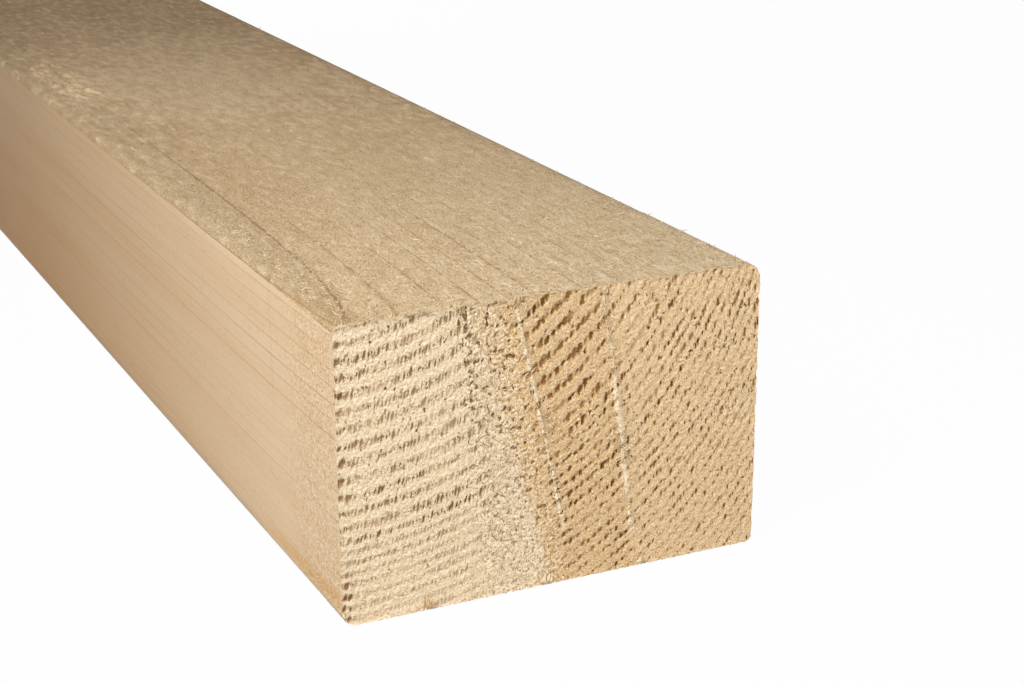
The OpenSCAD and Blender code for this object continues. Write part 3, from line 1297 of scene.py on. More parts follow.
@dataclass
class BeamTimber:
    """The whole beam as one closed skin, finest on the shown end, with the saw's relief in its points."""

    stock: Stock
    end: SawnEnd
    finishes: dict[Surface, bpy.types.Material]
    front_top_radius: float = 2.0
    front_bottom_radius: float = 4.0
    back_top_radius: float = 4.5
    back_bottom_radius: float = 2.0
    cells_across: int = 336
    cells_up: int = 208
    fine_width: float = 36.0
    fine_share: float = 0.45
    arc_cells: int = 8
    # How far behind the end each level of fineness reaches, and its first cell
    levels: tuple[tuple[float, float], ...] = ((1.6, 0.45), (12.0, 1.1), (60.0, 1.9), (2000.0, 4.0))
    growth: float = 1.045
    longest_cell: float = 42.0
    hole_depth: float = 0.9
    lump_depth: float = 0.5
    sand_depth: float = 0.15
    strand_height: float = 0.35
    chip_depth: float = 0.25
    chip_size: float = 1.1
    chip_span: tuple[float, float] = (0.42, 0.68)
    chip_inset: float = 0.5
    sharp_angle: float = 50.0
    rim_hold: float = 0.45
    rim_reach: float = 0.9
    fade_reach: float = 3.0
    points: list = field(default_factory=list)
    faces: list = field(default_factory=list)
    surfaces: list = field(default_factory=list)

    def side_line(self, length: float, first: float, last: float, cells: int) -> np.ndarray:
        """Draws one side of the outline, from the middle of one arris to the middle of the next.

        Args:
            length: From face to face along the side.
            first: Radius of the arris that it starts in.
            last: Radius of the arris that it ends in.
            cells: How many cells the side is cut into.

        Returns:
            The distances along the side, those in from it, and the outward direction by both.
        """
        bend = np.linspace(math.pi / 4, 0, self.arc_cells, endpoint=False)
        shares = np.linspace(0, 1, cells - 2 * self.arc_cells + 1)
        fine = self.fine_share if cells == self.cells_across else self.fine_width / length
        flat = np.interp(shares, [0, fine, 1], [first, self.fine_width, length - last])
        level = np.zeros_like(flat)
        sine, cosine = np.sin(bend), np.cos(bend)
        start = np.stack([first - first * sine, first - first * cosine, -sine, -cosine])
        middle = np.stack([flat, level, level, level - 1])
        sine, cosine = sine[::-1], cosine[::-1]
        end = np.stack([length - last + last * sine, last - last * cosine, sine, -cosine])
        return np.concatenate([start, middle, end], 1)

    def outline(self) -> dict[Side, np.ndarray]:
        """Draws the four sides of the section.

        Returns:
            For each side, rows of Y, Z and the outward Y and Z; sides run to the back and upwards.
        """
        stock = self.stock
        wide, high = stock.back - stock.front, stock.top - stock.under
        under = self.side_line(wide, self.front_bottom_radius, self.back_bottom_radius, self.cells_across)
        top = self.side_line(wide, self.front_top_radius, self.back_top_radius, self.cells_across)
        front = self.side_line(high, self.front_bottom_radius, self.front_top_radius, self.cells_up)
        back = self.side_line(high, self.back_bottom_radius, self.back_top_radius, self.cells_up)
        return {
            Side.UNDER: np.stack([stock.front + under[0], stock.under + under[1], under[2], under[3]], 1),
            Side.TOP: np.stack([stock.front + top[0], stock.top - top[1], top[2], -top[3]], 1),
            Side.FRONT: np.stack([stock.front + front[1], stock.under + front[0], front[3], front[2]], 1),
            Side.BACK: np.stack([stock.back - back[1], stock.under + back[0], -back[3], back[2]], 1),
        }

    def section(self, sides: dict[Side, np.ndarray], step: int) -> np.ndarray:
        """Fills the outline with a grid that bends to it.

        Args:
            sides: The outline.
            step: Every how many points of the outline are taken.

        Returns:
            Y and Z of the grid, by rows upwards and columns to the back.
        """
        under, top = sides[Side.UNDER][::step, :2], sides[Side.TOP][::step, :2]
        front, back = sides[Side.FRONT][::step, :2], sides[Side.BACK][::step, :2]
        across = np.linspace(0, 1, len(under))[None, :, None]
        up = np.linspace(0, 1, len(front))[:, None, None]
        ruled = (1 - up) * under[None] + up * top[None]
        ruled = ruled + (1 - across) * front[:, None] + across * back[:, None]
        low = (1 - across) * under[0] + across * under[-1]
        high = (1 - across) * top[0] + across * top[-1]
        return ruled - (1 - up) * low - up * high

    def loop(self, sides: dict[Side, np.ndarray], step: int) -> tuple[np.ndarray, np.ndarray]:
        """Runs once round the outline.

        Args:
            sides: The outline.
            step: Every how many points are taken.

        Returns:
            The points, and the side that the cell after each point belongs to.
        """
        runs = {
            Side.UNDER: sides[Side.UNDER][::step],
            Side.BACK: sides[Side.BACK][::step],
            Side.TOP: sides[Side.TOP][::-step],
            Side.FRONT: sides[Side.FRONT][::-step],
        }
        points = np.concatenate([run[:-1] for run in runs.values()])
        owner = {side: np.full(len(run) - 1, side.value) for side, run in runs.items()}
        arc = self.arc_cells // step
        owner[Side.BACK][-arc:] = Side.TOP.value
        owner[Side.FRONT][:arc] = Side.TOP.value
        return points, np.concatenate(list(owner.values()))

    def grid_ids(self, rows: int, columns: int) -> np.ndarray:
        """Numbers a grid's points, and returns the number of each as rows and columns."""
        return np.arange(rows * columns).reshape(rows, columns)

    def rim_ids(self, ids: np.ndarray) -> np.ndarray:
        """Runs round the rim of a numbered grid in the order of the outline."""
        return np.concatenate([ids[0, :-1], ids[:-1, -1], ids[-1, :0:-1], ids[:0:-1, 0]])

    def stations(self) -> list[list[float]]:
        """Spaces the rings of points behind the shown end.

        Returns:
            For each level of fineness, how far behind the end its rings lie.
        """
        length = self.stock.shown - self.stock.far
        behind, found = 0.0, []
        for limit, first_cell in self.levels:
            cell, rings = first_cell, []
            while behind + cell < min(limit, length):
                behind += cell
                rings.append(behind)
                cell = min(cell * self.growth, self.longest_cell)
            found.append(rings)
        found[-1][-1] = length
        return found

    def bare_mesh(self) -> bpy.types.Mesh:
        """Builds the skin before its relief.

        Returns:
            A closed mesh whose points keep how far they follow the torn end and which way is out.
        """
        sides = self.outline()
        near = self.section(sides, 1)
        rows, columns = near.shape[:2]
        ids = self.grid_ids(rows, columns)
        self.points = [np.column_stack([np.full(rows * columns, self.stock.shown), near.reshape(-1, 2)])]
        rim_gap = self.rim_gap(near)
        follow, outward = [np.ones(rows * columns)], [self.nearest_outward(near)]
        rim = [rim_gap.ravel()]
        self.faces, self.surfaces = [], []
        self.add_quads(ids[:-1, :-1], ids[:-1, 1:], ids[1:, 1:], ids[1:, :-1], Surface.TORN)
        last, total, step = self.rim_ids(ids), rows * columns, 1
        for level, rings in enumerate(self.stations()):
            coarser = level > 0
            for number, behind in enumerate(rings):
                if coarser and number == 0:
                    step *= 2
                points, owner = self.loop(sides, step)
                fresh = total + np.arange(len(points))
                total += len(points)
                x = np.full(len(points), self.stock.shown - behind)
                self.points.append(np.column_stack([x, points[:, :2]]))
                follow.append(np.full(len(points), max(0.0, 1 - behind / self.fade_reach)))
                outward.append(points[:, 2:])
                rim.append(np.zeros(len(points)))
                self.add_ring(last, fresh, owner)
                last = fresh
        far = self.section(sides, step)
        rows, columns = far.shape[:2]
        inner = self.grid_ids(rows, columns)
        lookup = np.zeros(rows * columns, int)
        lookup[self.rim_ids(inner)] = last
        hidden = inner[1:-1, 1:-1].ravel()
        lookup[hidden] = total + np.arange(len(hidden))
        x = np.full(len(hidden), self.stock.far)
        self.points.append(np.column_stack([x, far.reshape(-1, 2)[hidden]]))
        follow.append(np.zeros(len(hidden)))
        outward.append(np.zeros((len(hidden), 2)))
        rim.append(np.ones(len(hidden)))
        ids = lookup[inner]
        self.add_quads(ids[:-1, :-1], ids[1:, :-1], ids[1:, 1:], ids[:-1, 1:], Surface.TORN)
        mesh = bpy.data.meshes.new(NODE)
        corners = [face for block in self.faces for face in block.tolist()]
        mesh.from_pydata((np.concatenate(self.points) * MM).tolist(), [], corners)
        surfaces = np.concatenate(self.surfaces).astype(np.int32)
        mesh.attributes.new("surface", "INT", "FACE").data.foreach_set("value", surfaces)
        mesh.attributes.new("follow", "FLOAT", "POINT").data.foreach_set("value", np.concatenate(follow))
        mesh.attributes.new("rim", "FLOAT", "POINT").data.foreach_set("value", np.concatenate(rim))
        sideways = np.concatenate(outward)
        vectors = np.column_stack([np.zeros(len(sideways)), sideways])
        mesh.attributes.new("outward", "FLOAT_VECTOR", "POINT").data.foreach_set("vector", vectors.ravel())
        return mesh

    def rim_gap(self, grid: np.ndarray) -> np.ndarray:
        """Measures how far each point of the end is from the nearest face of the beam.

        Args:
            grid: Y and Z of the points.

        Returns:
            The distances, by rows and columns.
        """
        stock = self.stock
        y, z = grid[..., 0], grid[..., 1]
        return np.minimum.reduce([y - stock.front, stock.back - y, z - stock.under, stock.top - z])

    def nearest_outward(self, grid: np.ndarray) -> np.ndarray:
        """Finds the direction of the nearest face for each point of the end.

        Args:
            grid: Y and Z of the points.

        Returns:
            A row of Y and Z for each point.
        """
        stock = self.stock
        y, z = grid[..., 0].ravel(), grid[..., 1].ravel()
        gaps = np.stack([y - stock.front, stock.back - y, z - stock.under, stock.top - z])
        ways = np.array([(-1.0, 0.0), (1.0, 0.0), (0.0, -1.0), (0.0, 1.0)])
        return ways[gaps.argmin(0)]

    def add_quads(self, a: np.ndarray, b: np.ndarray, c: np.ndarray, d: np.ndarray, surface: Surface) -> None:
        """Adds a block of four-sided faces.

        Args:
            a: First corners.
            b: Second corners.
            c: Third corners.
            d: Fourth corners.
            surface: The finish on them.
        """
        block = np.stack([a.ravel(), b.ravel(), c.ravel(), d.ravel()], 1)
        self.faces.append(block)
        self.surfaces.append(np.full(len(block), surface.value))

    def add_ring(self, last: np.ndarray, fresh: np.ndarray, owner: np.ndarray) -> None:
        """Joins a ring of points to the one before it, which may have twice as many.

        Args:
            last: The ring nearer the shown end.
            fresh: The ring behind it.
            owner: The side that each cell of the ring behind belongs to.
        """
        surface = np.where(owner == Side.TOP.value, Surface.WOOLLY.value, Surface.PLANED.value)
        after = np.roll(fresh, -1)
        if len(last) == len(fresh):
            self.faces.append(np.stack([last, fresh, after, np.roll(last, -1)], 1))
            self.surfaces.append(surface)
            return
        start, middle, end = last[::2], last[1::2], np.roll(last, -2)[::2]
        for block in ((start, fresh, middle), (middle, fresh, after), (middle, after, end)):
            self.faces.append(np.stack(block, 1))
            self.surfaces.append(surface)

    def relief(self) -> Recipe:
        """Makes the tree that sinks the torn holes into the end and chips its rim.

        Returns:
            The tree, ready to run on the bare skin.
        """
        recipe = Recipe("torn_relief")
        bench = recipe.bench
        hole_depth = recipe.size("Hole depth", self.hole_depth)
        lump_depth = recipe.size("Lump depth", self.lump_depth)
        sand_depth = recipe.size("Sand depth", self.sand_depth)
        strand_height = recipe.size("Strand height", self.strand_height)
        chip_depth = recipe.size("Chip depth", self.chip_depth)
        position = bench.add("GeometryNodeInputPosition")
        point = self.end.lay(bench, position)
        follow = bench.add("GeometryNodeInputNamedAttribute", "follow")
        rim = bench.add("GeometryNodeInputNamedAttribute", "rim")
        outward = bench.add("GeometryNodeInputNamedAttribute", "outward", data_type="FLOAT_VECTOR")
        depth = bench.add("Math", point.sunk, hole_depth, operation="MULTIPLY")
        depth = bench.add("Math", point.lumps, lump_depth, depth, operation="MULTIPLY_ADD")
        depth = bench.add("Math", point.sand, sand_depth, depth, operation="MULTIPLY_ADD")
        ridge = bench.add("Math", point.strands, strand_height, operation="MULTIPLY")
        depth = bench.add("Math", depth, ridge, operation="SUBTRACT")
        place = bench.add("VectorMath", position, at={"Scale": 1 / MM}, operation="SCALE")
        crumble = bench.add("TexNoise", place, at={"Scale": 1 / self.chip_size, "Detail": 2.0})
        chipped = bench.add("MapRange", crumble, *self.chip_span, 0.0, 1.0, **SMOOTH)
        at_rim = bench.add("MapRange", rim, 0.0, self.rim_reach, 1.0, 0.0, **SMOOTH)
        held = bench.add("MapRange", at_rim, 0.0, 1.0, 1.0, self.rim_hold)
        depth = bench.add("Math", depth, held, operation="MULTIPLY")
        chip = bench.add("Math", chipped, at_rim, operation="MULTIPLY")
        chip = bench.add("Math", chip, chip_depth, operation="MULTIPLY")
        depth = bench.add("Math", depth, chip, operation="ADD")
        sunk = bench.add("Math", depth, follow, operation="MULTIPLY")
        inset = bench.add("Math", chip, follow, operation="MULTIPLY")
        back = bench.add("VectorMath", (-MM, 0.0, 0.0), at={"Scale": sunk}, operation="SCALE")
        inward = bench.add("VectorMath", outward, at={"Scale": inset}, operation="SCALE")
        shares = (-self.chip_inset * MM,) * 3
        offset = bench.add("VectorMath", inward, shares, back, operation="MULTIPLY_ADD")
        carved = bench.add("GeometryNodeSetPosition", recipe.entry.outputs[0], at={"Offset": offset})
        dressed = bench.add("GeometryNodeRealizeInstances", carved)
        index = bench.add("GeometryNodeInputNamedAttribute", "surface", data_type="INT")
        for surface, finish in self.finishes.items():
            material = recipe.size(surface.name, finish, "Material")
            pair = {FIRST: index, SECOND: surface.value}
            here = bench.add("FunctionNodeCompare", at=pair, data_type="INT", operation="EQUAL")
            dressed = bench.add("GeometryNodeSetMaterial", dressed, here, material)
        bench.add("NodeGroupOutput", dressed)
        return recipe

    def build(self) -> bpy.types.Object:
        """Builds the beam, carves it and puts it in the node's place.

        Returns:
            The finished piece.
        """
        piece = new_piece("beam_timber", self.bare_mesh())
        self.relief().run(piece)
        for name in ("follow", "rim", "outward", "surface"):
            piece.data.attributes.remove(piece.data.attributes[name])
        piece.data.set_sharp_from_angle(angle=math.radians(self.sharp_angle))
        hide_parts(NODE)
        return piece


# Loose fibres


class Lie(Enum):
    """The face that fibres lie on."""

    TOP = "top"
    END = "end"

    def point(self, along: float, aside: float, up: float) -> tuple[float, float, float]:
        """Turns a point by a fibre's own directions into one by the beam's."""
        return (along, aside, up) if self is Lie.TOP else (up, along, aside)


@dataclass(frozen=True)
class FibreShape:
    """A tapering fibre that leaves the wood, bends over and comes down to a point."""

    length: float
    rise: float
    swing: float
    thickness: float
    sides: int = 3
    cuts: int = 3
    tip: float = 0.15
    root: float = 0.25
    swell: float = 0.4

    def lay(self, bench: Bench, lie: Lie) -> Socket:
        """Lays the nodes that make the fibre, in millimetres with its root at the origin.

        Args:
            bench: The tree they go into.
            lie: The face that the fibre lies on.

        Returns:
            The fibre as an instance.
        """
        start = lie.point(0.0, 0.0, -self.root)
        middle = lie.point(self.length / 2, self.swing, self.rise)
        end = lie.point(self.length, 0.0, self.rise / 2)
        spine = bench.add("GeometryNodeCurveQuadraticBezier", self.cuts, start, middle, end)
        profile = bench.add("GeometryNodeCurvePrimitiveCircle", self.sides, at={"Radius": self.thickness / 2})
        along = bench.add("GeometryNodeSplineParameter")
        taper = bench.add("MapRange", along, self.swell, 1.0, 1.0, self.tip)
        mesh = bench.add("GeometryNodeCurveToMesh", spine, profile, taper, True)
        return bench.add("GeometryNodeGeometryToInstance", mesh)


# Length, rise, swing and thickness of each fibre, which is thicker than a real one so that it shows
FIBRES = (
    FibreShape(1.6, 0.35, 0.60, 0.28),
    FibreShape(1.1, 0.45, -0.55, 0.26),
    FibreShape(2.2, 0.30, -0.95, 0.27),
    FibreShape(0.9, 0.40, 0.45, 0.32),
    FibreShape(1.9, 0.50, 0.90, 0.24),
)

SPLINTERS = (
    FibreShape(2.2, 1.5, 0.2, 1.25, sides=5, tip=0.08),
    FibreShape(1.7, 1.7, -0.2, 1.05, sides=5, tip=0.08),
    FibreShape(2.8, 1.3, 0.3, 0.90, sides=5, tip=0.08),
)


def fibre_set(bench: Bench, lie: Lie, shapes: tuple[FibreShape, ...]) -> Socket:
    """Lays every shape of fibre as one set to pick from.

    Args:
        bench: The tree they go into.
        lie: The face that the fibres lie on.
        shapes: The shapes.

    Returns:
        The set of instances.
    """
    join = bench.add("GeometryNodeJoinGeometry")
    for shape in shapes:
        bench.tree.links.new(shape.lay(bench, lie), join.node.inputs[0])
    return join


@dataclass(frozen=True)
class WoolStretch:
    """A stretch of the top behind the shown end, and the fibres on each square millimetre of it."""

    start: float
    end: float
    shapes: tuple[FibreShape, ...]
    thick: float
    thin: float
    thinning: float = 120.0


TOP_WOOL = (
    WoolStretch(0.5, 130.0, FIBRES, 0.7, 0.008),
    WoolStretch(130.0, 420.0, FIBRES, 0.7, 0.008),
    WoolStretch(420.0, 1992.0, FIBRES, 0.7, 0.008),
)


@dataclass
class TopWool:
    """The felt of lifted fibres on the top, thickest by the shown end and thinning farther off."""

    stock: Stock
    fibre: bpy.types.Material
    stretches: tuple[WoolStretch, ...] = TOP_WOOL
    patch_size: float = 9.0
    patch_span: tuple[float, float] = (0.3, 0.7)
    patch_share: tuple[float, float] = (0.3, 1.7)
    edge: float = 4.0
    cell: float = 3.0
    skew: float = 0.9
    lean: tuple[float, float] = (-0.18, 0.12)
    smallest: float = 0.6
    largest: float = 1.3
    seed: int = 5

    def tree(self, stretch: WoolStretch, number: int) -> Recipe:
        """Makes the tree that grows the fibres over one stretch of the top.

        Args:
            stretch: The stretch and its wool.
            number: The stretch's place in the row, which changes its seed.

        Returns:
            The tree, ready to run.
        """
        recipe = Recipe(f"top_wool_{number}")
        bench = recipe.bench
        stock = self.stock
        material = recipe.size("Fibre", self.fibre, "Material")
        thick = recipe.size("Thickest", stretch.thick)
        thin = recipe.size("Thinnest", stretch.thin)
        smallest = recipe.size("Smallest", self.smallest * MM)
        largest = recipe.size("Largest", self.largest * MM)
        seed = recipe.size("Seed", self.seed + number, "Int")
        long, wide = stretch.end - stretch.start, stock.back - stock.front - 2 * self.edge
        rows, columns = int(long / self.cell) + 2, int(wide / self.cell) + 2
        sheet = bench.add("GeometryNodeMeshGrid", long * MM, wide * MM, rows, columns)
        middle = (stock.shown - (stretch.start + stretch.end) / 2, (stock.front + stock.back) / 2, stock.top)
        laid = bench.add("GeometryNodeTransform", sheet, tuple(value * MM for value in middle))
        position = bench.add("GeometryNodeInputPosition")
        place = bench.add("VectorMath", position, at={"Scale": 1 / MM}, operation="SCALE")
        x = bench.add("SeparateXYZ", place)
        behind = bench.add("Math", stock.shown, x, operation="SUBTRACT")
        share = bench.add("Math", behind, -1 / stretch.thinning, operation="MULTIPLY")
        fade = bench.add("Math", share, operation="EXPONENT")
        count = bench.add("Math", fade, thick, thin, operation="MULTIPLY_ADD")
        patch = bench.add("TexNoise", place, at={"Scale": 1 / self.patch_size, "Detail": 2.0})
        patchy = bench.add("MapRange", patch, *self.patch_span, *self.patch_share, **SMOOTH)
        density = bench.add("Math", count, patchy, operation="MULTIPLY")
        density = bench.add("Math", density, 1 / MM**2, operation="MULTIPLY")
        spots = bench.add("GeometryNodeDistributePointsOnFaces", laid, at={"Density": density, "Seed": seed})
        low, high = (0.0, self.lean[0], -self.skew), (0.0, self.lean[1], self.skew)
        turn = bench.add("FunctionNodeRandomValue", low, high, at={"Seed": seed}, data_type="FLOAT_VECTOR")
        coin = {FIRST_INT: 0, SECOND_INT: 1, "Seed": seed}
        flip = bench.add("FunctionNodeRandomValue", at=coin, data_type="INT", out=2)
        about = bench.add("Math", flip, math.pi, operation="MULTIPLY")
        facing = bench.add("CombineXYZ", 0.0, 0.0, about)
        rotation = bench.add("VectorMath", turn, facing, operation="ADD")
        sizes = {FIRST: smallest, SECOND: largest, "Seed": seed}
        size = bench.add("FunctionNodeRandomValue", at=sizes, out=1)
        draw = {FIRST_INT: 0, SECOND_INT: len(stretch.shapes) - 1, "Seed": seed}
        which = bench.add("FunctionNodeRandomValue", at=draw, data_type="INT", out=2)
        kinds = fibre_set(bench, Lie.TOP, stretch.shapes)
        grown = bench.add("GeometryNodeInstanceOnPoints", spots, None, kinds, True, which, rotation, size)
        recipe.close(grown, material)
        return recipe

    def build(self) -> list[bpy.types.Object]:
        """Grows the felt, one piece for each stretch of the top.

        Returns:
            The pieces.
        """
        numbered = enumerate(self.stretches)
        return [self.tree(stretch, number).piece(f"top_wool_{number + 1}") for number, stretch in numbered]


ANY_WAY = (-math.pi, math.pi)
RISING = (0.4, 2.7)
UPRIGHT = (1.2, 1.9)


@dataclass(frozen=True)
class FrayLine:
    """A line that fibres stand along: by across and down on the end, by behind and across on the top."""

    name: str
    start: tuple[float, float]
    end: tuple[float, float]
    spread: float
    count: int
    smallest: float = 0.8
    largest: float = 1.7
    turn: tuple[float, float] = ANY_WAY
    shapes: tuple[FibreShape, ...] = FIBRES


END_FRAY = (
    FrayLine("first_line", (48.8, 3.0), (61.6, 62.0), 0.4, 110),
    FrayLine("second_line", (76.0, 19.0), (81.9, 66.0), 0.6, 90),
    FrayLine("second_tuft", (78.6, 38.0), (79.8, 49.0), 1.1, 55),
    FrayLine("upper_tuft", (73.5, 2.0), (75.5, 17.0), 1.2, 45),
    FrayLine("woolly_middle", (38.0, 5.0), (48.0, 74.0), 4.5, 260, 0.6, 1.2),
    FrayLine("top_rim", (1.0, 0.8), (46.0, 0.8), 0.5, 160, 0.6, 1.2, RISING),
    FrayLine("first_rim_tuft", (48.5, 1.0), (52.0, 1.6), 0.8, 18),
    FrayLine("second_rim_tuft", (86.6, 1.5), (87.8, 6.5), 0.3, 10, 1.0, 1.8, UPRIGHT),
    FrayLine("low_splinters_1", (23.0, 79.2), (24.6, 79.2), 0.2, 5, 0.7, 1.1, UPRIGHT, SPLINTERS),
    FrayLine("low_splinters_2", (55.6, 79.2), (58.0, 79.2), 0.2, 8, 0.8, 1.2, UPRIGHT, SPLINTERS),
    FrayLine("low_splinters_3", (84.2, 79.2), (86.0, 79.2), 0.2, 5, 0.7, 1.1, UPRIGHT, SPLINTERS),
)

STRIP_CURLS = (
    FrayLine("near_curls", (18.0, 4.0), (90.0, 7.0), 2.6, 260, 0.7, 1.4),
    FrayLine("far_curls", (90.0, 7.5), (190.0, 8.5), 4.5, 340, 0.7, 1.4),
)


@dataclass
class Fray:
    """Loose fibres along lines of one face, made as one piece."""

    name: str
    lie: Lie
    lines: tuple[FrayLine, ...]
    stock: Stock
    fibre: bpy.types.Material
    sunk: float = 0.25
    tilt: float = 0.35
    seed: int = 17

    def place(self, spot: tuple[float, float]) -> tuple[float, ...]:
        """Turns a place on the face into metres.

        Args:
            spot: Across and down on the end, or behind and across on the top.

        Returns:
            The place by the beam's directions.
        """
        stock = self.stock
        on_top = (stock.shown - spot[0], stock.front + spot[1], stock.top - self.sunk)
        on_end = (stock.shown - self.sunk, stock.front + spot[0], stock.top - spot[1])
        return tuple(value * MM for value in (on_top if self.lie is Lie.TOP else on_end))

    def grow(self, recipe: Recipe, line: FrayLine, seed: Socket) -> Socket:
        """Lays the nodes that stand fibres along one line.

        Args:
            recipe: The tree they go into.
            line: The line.
            seed: The seed of its random draws.

        Returns:
            The fibres as instances.
        """
        bench = recipe.bench
        count = recipe.size(f"{line.name} count", line.count, "Int")
        smallest = recipe.size(f"{line.name} smallest", line.smallest * MM)
        largest = recipe.size(f"{line.name} largest", line.largest * MM)
        spread = line.spread * MM
        path = bench.add("GeometryNodeCurvePrimitiveLine", self.place(line.start), self.place(line.end))
        spots = bench.add("GeometryNodeCurveToPoints", path, count)
        low, high = self.lie.point(-spread, -spread, 0.0), self.lie.point(spread, spread, 0.0)
        stray = bench.add("FunctionNodeRandomValue", low, high, at={"Seed": seed}, data_type="FLOAT_VECTOR")
        strewn = bench.add("GeometryNodeSetPosition", spots, at={"Offset": stray})
        low = self.lie.point(-self.tilt, -self.tilt, line.turn[0])
        high = self.lie.point(self.tilt, self.tilt, line.turn[1])
        turn = bench.add("FunctionNodeRandomValue", low, high, at={"Seed": seed}, data_type="FLOAT_VECTOR")
        sizes = {FIRST: smallest, SECOND: largest, "Seed": seed}
        size = bench.add("FunctionNodeRandomValue", at=sizes, out=1)
        draw = {FIRST_INT: 0, SECOND_INT: len(line.shapes) - 1, "Seed": seed}
        which = bench.add("FunctionNodeRandomValue", at=draw, data_type="INT", out=2)
        kinds = fibre_set(bench, self.lie, line.shapes)
        return bench.add("GeometryNodeInstanceOnPoints", strewn, None, kinds, True, which, turn, size)

    def build(self) -> bpy.types.Object:
        """Grows the fibres of every line as one piece.

        Returns:
            The piece.
        """
        recipe = Recipe(self.name)
        material = recipe.size("Fibre", self.fibre, "Material")
        first_seed = recipe.size("Seed", self.seed, "Int")
        join = recipe.bench.add("GeometryNodeJoinGeometry")
        for number, line in enumerate(self.lines):
            seed = recipe.bench.add("Math", first_seed, float(number), operation="ADD")
            recipe.tree.links.new(self.grow(recipe, line, seed), join.node.inputs[0])
        recipe.close(join, material)
        return recipe.piece(self.name)


@dataclass
class TornPatch:
    """A torn place on the top by the front arris, where soft lumps of fibre stand up."""

    stock: Stock
    nap: bpy.types.Material
    behind: float = 322.0
    across: float = 13.0
    long: float = 80.0
    wide: float = 21.6
    high: float = 0.8
    cell: float = 0.7
    layers: int = 2
    lump_length: float = 8.0
    lump_width: float = 2.6
    skew: float = -0.25
    lowest: float = 0.42
    fullest: float = 0.72
    tallest: float = 1.5
    edge: float = 5.0
    sunk: float = 0.12

    def tree(self) -> Recipe:
        """Makes the tree that raises the lumps out of a thin block let into the top.

        Returns:
            The tree, ready to run.
        """
        recipe = Recipe("torn_patch")
        bench = recipe.bench
        material = recipe.size("Nap", self.nap, "Material")
        tallest = recipe.size("Tallest", self.tallest * MM)
        columns, rows = int(self.long / self.cell), int(self.wide / self.cell)
        box = (self.long * MM, self.wide * MM, self.high * MM)
        block = bench.add("GeometryNodeMeshCube", box, columns, rows, self.layers)
        position = bench.add("GeometryNodeInputPosition")
        place = bench.add("VectorMath", position, at={"Scale": 1 / MM}, operation="SCALE")
        x, y, z = bench.add("SeparateXYZ", place).node.outputs
        slid = bench.add("Math", x, self.skew, y, operation="MULTIPLY_ADD")
        drawn = bench.add("Math", x, self.lump_width / self.lump_length, operation="MULTIPLY")
        flat = bench.add("CombineXYZ", drawn, slid)
        noise = bench.add("TexNoise", flat, at={"Scale": 1 / self.lump_width, "Detail": 2.0})
        height = bench.add("MapRange", noise, self.lowest, self.fullest, 0.0, tallest, **SMOOTH)
        for along, reach in ((x, self.long / 2), (y, self.wide / 2)):
            off = bench.add("Math", along, operation="ABSOLUTE")
            inside = bench.add("MapRange", off, reach, reach - self.edge, 0.0, 1.0, **SMOOTH)
            height = bench.add("Math", height, inside, operation="MULTIPLY")
        upper = bench.add("Math", z, 0.0, operation="GREATER_THAN")
        raised = bench.add("CombineXYZ", 0.0, 0.0, bench.add("Math", height, upper, operation="MULTIPLY"))
        lumps = bench.add("GeometryNodeSetPosition", block, at={"Offset": raised})
        stock = self.stock
        middle = (stock.shown - self.behind, stock.front + self.across, stock.top - self.sunk - self.high / 2)
        laid = bench.add("GeometryNodeTransform", lumps, tuple(value * MM for value in middle))
        recipe.close(laid, material)
        return recipe

    def build(self) -> bpy.types.Object:
        """Lets the torn place into the top, and returns it."""
        return self.tree().piece("arris_tear")


# The studio


@dataclass(frozen=True)
class Lamp:
    """A soft square lamp."""

    name: str
    place: tuple[float, float, float]
    aim: tuple[float, float, float]
    side: float
    power: float
    spread: float = 180.0

    def light(self) -> None:
        """Hangs the lamp and turns it to what it lights."""
        data = bpy.data.lights.new(self.name, "AREA")
        data.energy = self.power
        data.size = self.side * MM
        data.spread = math.radians(self.spread)
        lamp = bpy.data.objects.new(self.name, data)
        place, aim = Vector(self.place) * MM, Vector(self.aim) * MM
        lamp.location = place
        lamp.rotation_euler = (aim - place).to_track_quat("-Z", "Y").to_euler()
        bpy.context.scene.collection.objects.link(lamp)


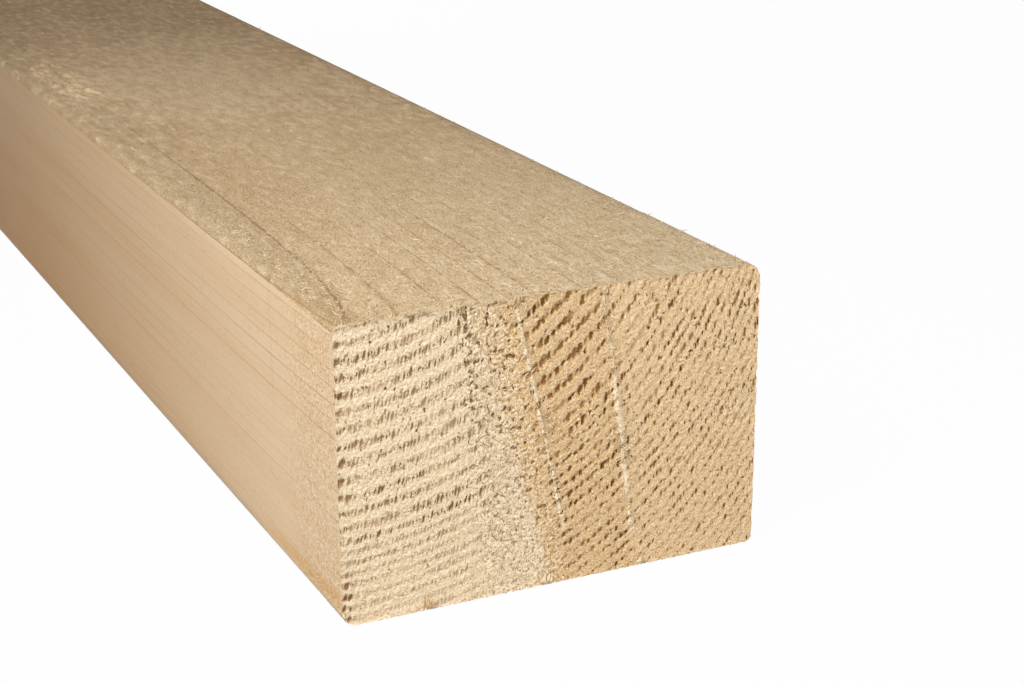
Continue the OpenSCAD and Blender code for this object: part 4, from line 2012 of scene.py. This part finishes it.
@dataclass
class Studio:
    """A white floor, soft lamps and the camera at the picture's angle."""

    eye: tuple[float, float, float] = (1426.9, -215.5, 229.9)
    heading: float = -25.419
    elevation: float = 18.802
    roll: float = -0.331
    focal_px: float = 2000.6
    picture_px: int = 1024
    sensor: float = 36.0
    nearest: float = 10.0
    floor_side: float = 16000.0
    floor_white: str = "#C8C8C8"
    floor_glow: float = 0.98
    sky: float = 0.05
    sky_white: str = "#FFFFFF"
    lamps: tuple[Lamp, ...] = (
        Lamp("key", (1165.0, -330.0, 470.0), (960.0, -20.0, 60.0), 300.0, 4.05),
        Lamp("fill", (1620.0, 260.0, 190.0), (1000.0, 0.0, 40.0), 400.0, 2.45),
        Lamp("middle_front", (-60.0, -420.0, 420.0), (-60.0, 0.0, 40.0), 500.0, 0.75, 75.0),
        Lamp("middle_back", (-60.0, 420.0, 420.0), (-60.0, 0.0, 40.0), 500.0, 0.75, 75.0),
        Lamp("far_front", (-750.0, -420.0, 420.0), (-750.0, 0.0, 40.0), 500.0, 1.0, 100.0),
        Lamp("far_back", (-750.0, 420.0, 420.0), (-750.0, 0.0, 40.0), 500.0, 1.0, 100.0),
        Lamp("far_end", (-1500.0, 0.0, 260.0), (-1000.0, 0.0, 40.0), 400.0, 1.6),
    )

    def camera(self) -> None:
        """Sets the camera where the picture was taken from."""
        heading, elevation, roll = (math.radians(v) for v in (self.heading, self.elevation, self.roll))
        level = math.cos(elevation)
        back = Vector((level * math.cos(heading), level * math.sin(heading), math.sin(elevation)))
        right = Vector((0, 0, 1)).cross(back).normalized()
        up = back.cross(right)
        tilted_right = math.cos(roll) * right + math.sin(roll) * up
        tilted_up = math.cos(roll) * up - math.sin(roll) * right
        data = bpy.data.cameras.new("camera")
        data.sensor_width = self.sensor
        data.lens = self.focal_px * self.sensor / self.picture_px
        data.clip_start = self.nearest * MM
        camera = bpy.data.objects.new("camera", data)
        turn = Matrix((tilted_right, tilted_up, back)).transposed().to_4x4()
        camera.matrix_world = Matrix.Translation(Vector(self.eye) * MM) @ turn
        bpy.context.scene.collection.objects.link(camera)
        bpy.context.scene.camera = camera

    def seen(self, bench: Bench) -> Socket:
        """Lays the nodes that tell a look at the white from light that falls on it.

        Args:
            bench: The tree they go into.

        Returns:
            One for a look, also by a reflection or through glass.
        """
        path = bench.add("LightPath").node.outputs
        direct = bench.add("Math", path["Is Camera Ray"], path["Is Glossy Ray"], operation="MAXIMUM")
        return bench.add("Math", direct, path["Is Transmission Ray"], operation="MAXIMUM")

    def floor(self) -> None:
        """Lays the floor, white where it is looked at, with the beam's soft shadow on it."""
        half = self.floor_side / 2 * MM
        mesh = bpy.data.meshes.new("floor")
        corners = [(-half, -half, 0.0), (half, -half, 0.0), (half, half, 0.0), (-half, half, 0.0)]
        mesh.from_pydata(corners, [], [(0, 1, 2, 3)])
        floor = new_piece("floor", mesh)
        material = bpy.data.materials.new("white_floor")
        material.use_nodes = True
        material.node_tree.nodes.clear()
        bench = Bench(material.node_tree)
        share = bench.add("Math", self.seen(bench), self.floor_glow, operation="MULTIPLY")
        matt = bench.add("BsdfDiffuse", linear(self.floor_white))
        glow = bench.add("Emission")
        mixed = bench.add("MixShader", share, matt, glow)
        bench.add("OutputMaterial", mixed)
        mesh.materials.append(material)

    def surroundings(self) -> None:
        """Fills the room with even light, and shows white behind the floor."""
        world = bpy.data.worlds.new("studio")
        world.use_nodes = True
        world.node_tree.nodes.clear()
        bench = Bench(world.node_tree)
        strength = bench.add("MapRange", self.seen(bench), 0.0, 1.0, self.sky, 1.0)
        bench.add("OutputWorld", bench.add("Background", linear(self.sky_white), strength))
        bpy.context.scene.world = world

    def build(self) -> None:
        """Sets up the camera, the floor, the room and the lamps."""
        self.camera()
        self.floor()
        self.surroundings()
        for lamp in self.lamps:
            lamp.light()
        bpy.context.scene.view_settings.view_transform = "Standard"


def main() -> None:
    """Builds the beam and its fibres, dresses them and sets up the studio."""
    logging.basicConfig(level=logging.INFO, format="%(name)s: %(message)s")
    stock = Stock.from_frame()
    rings = GrowthRings(stock)
    end = SawnEnd(rings)
    Studio().build()
    finishes = {
        Surface.PLANED: PlanedSpruce(rings).material(),
        Surface.WOOLLY: WoollySpruce(rings).material(),
        Surface.TORN: TornCrosscut(rings, end=end).material(),
    }
    fibre = LooseFibre(rings).material()
    timber = BeamTimber(stock, end, finishes).build()
    end_fray = Fray("end_fray", Lie.END, END_FRAY, stock, fibre).build()
    strip_curls = Fray("strip_curls", Lie.TOP, STRIP_CURLS, stock, fibre).build()
    arris_tear = TornPatch(stock, finishes[Surface.WOOLLY]).build()
    pieces = [timber, *TopWool(stock, fibre).build(), end_fray, strip_curls, arris_tear]
    for piece in pieces:
        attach(piece, BODY)
        piece.data.calc_loop_triangles()
        log.info("%s: %d triangles", piece.name, len(piece.data.loop_triangles))


if __name__ == "__main__":
    main()
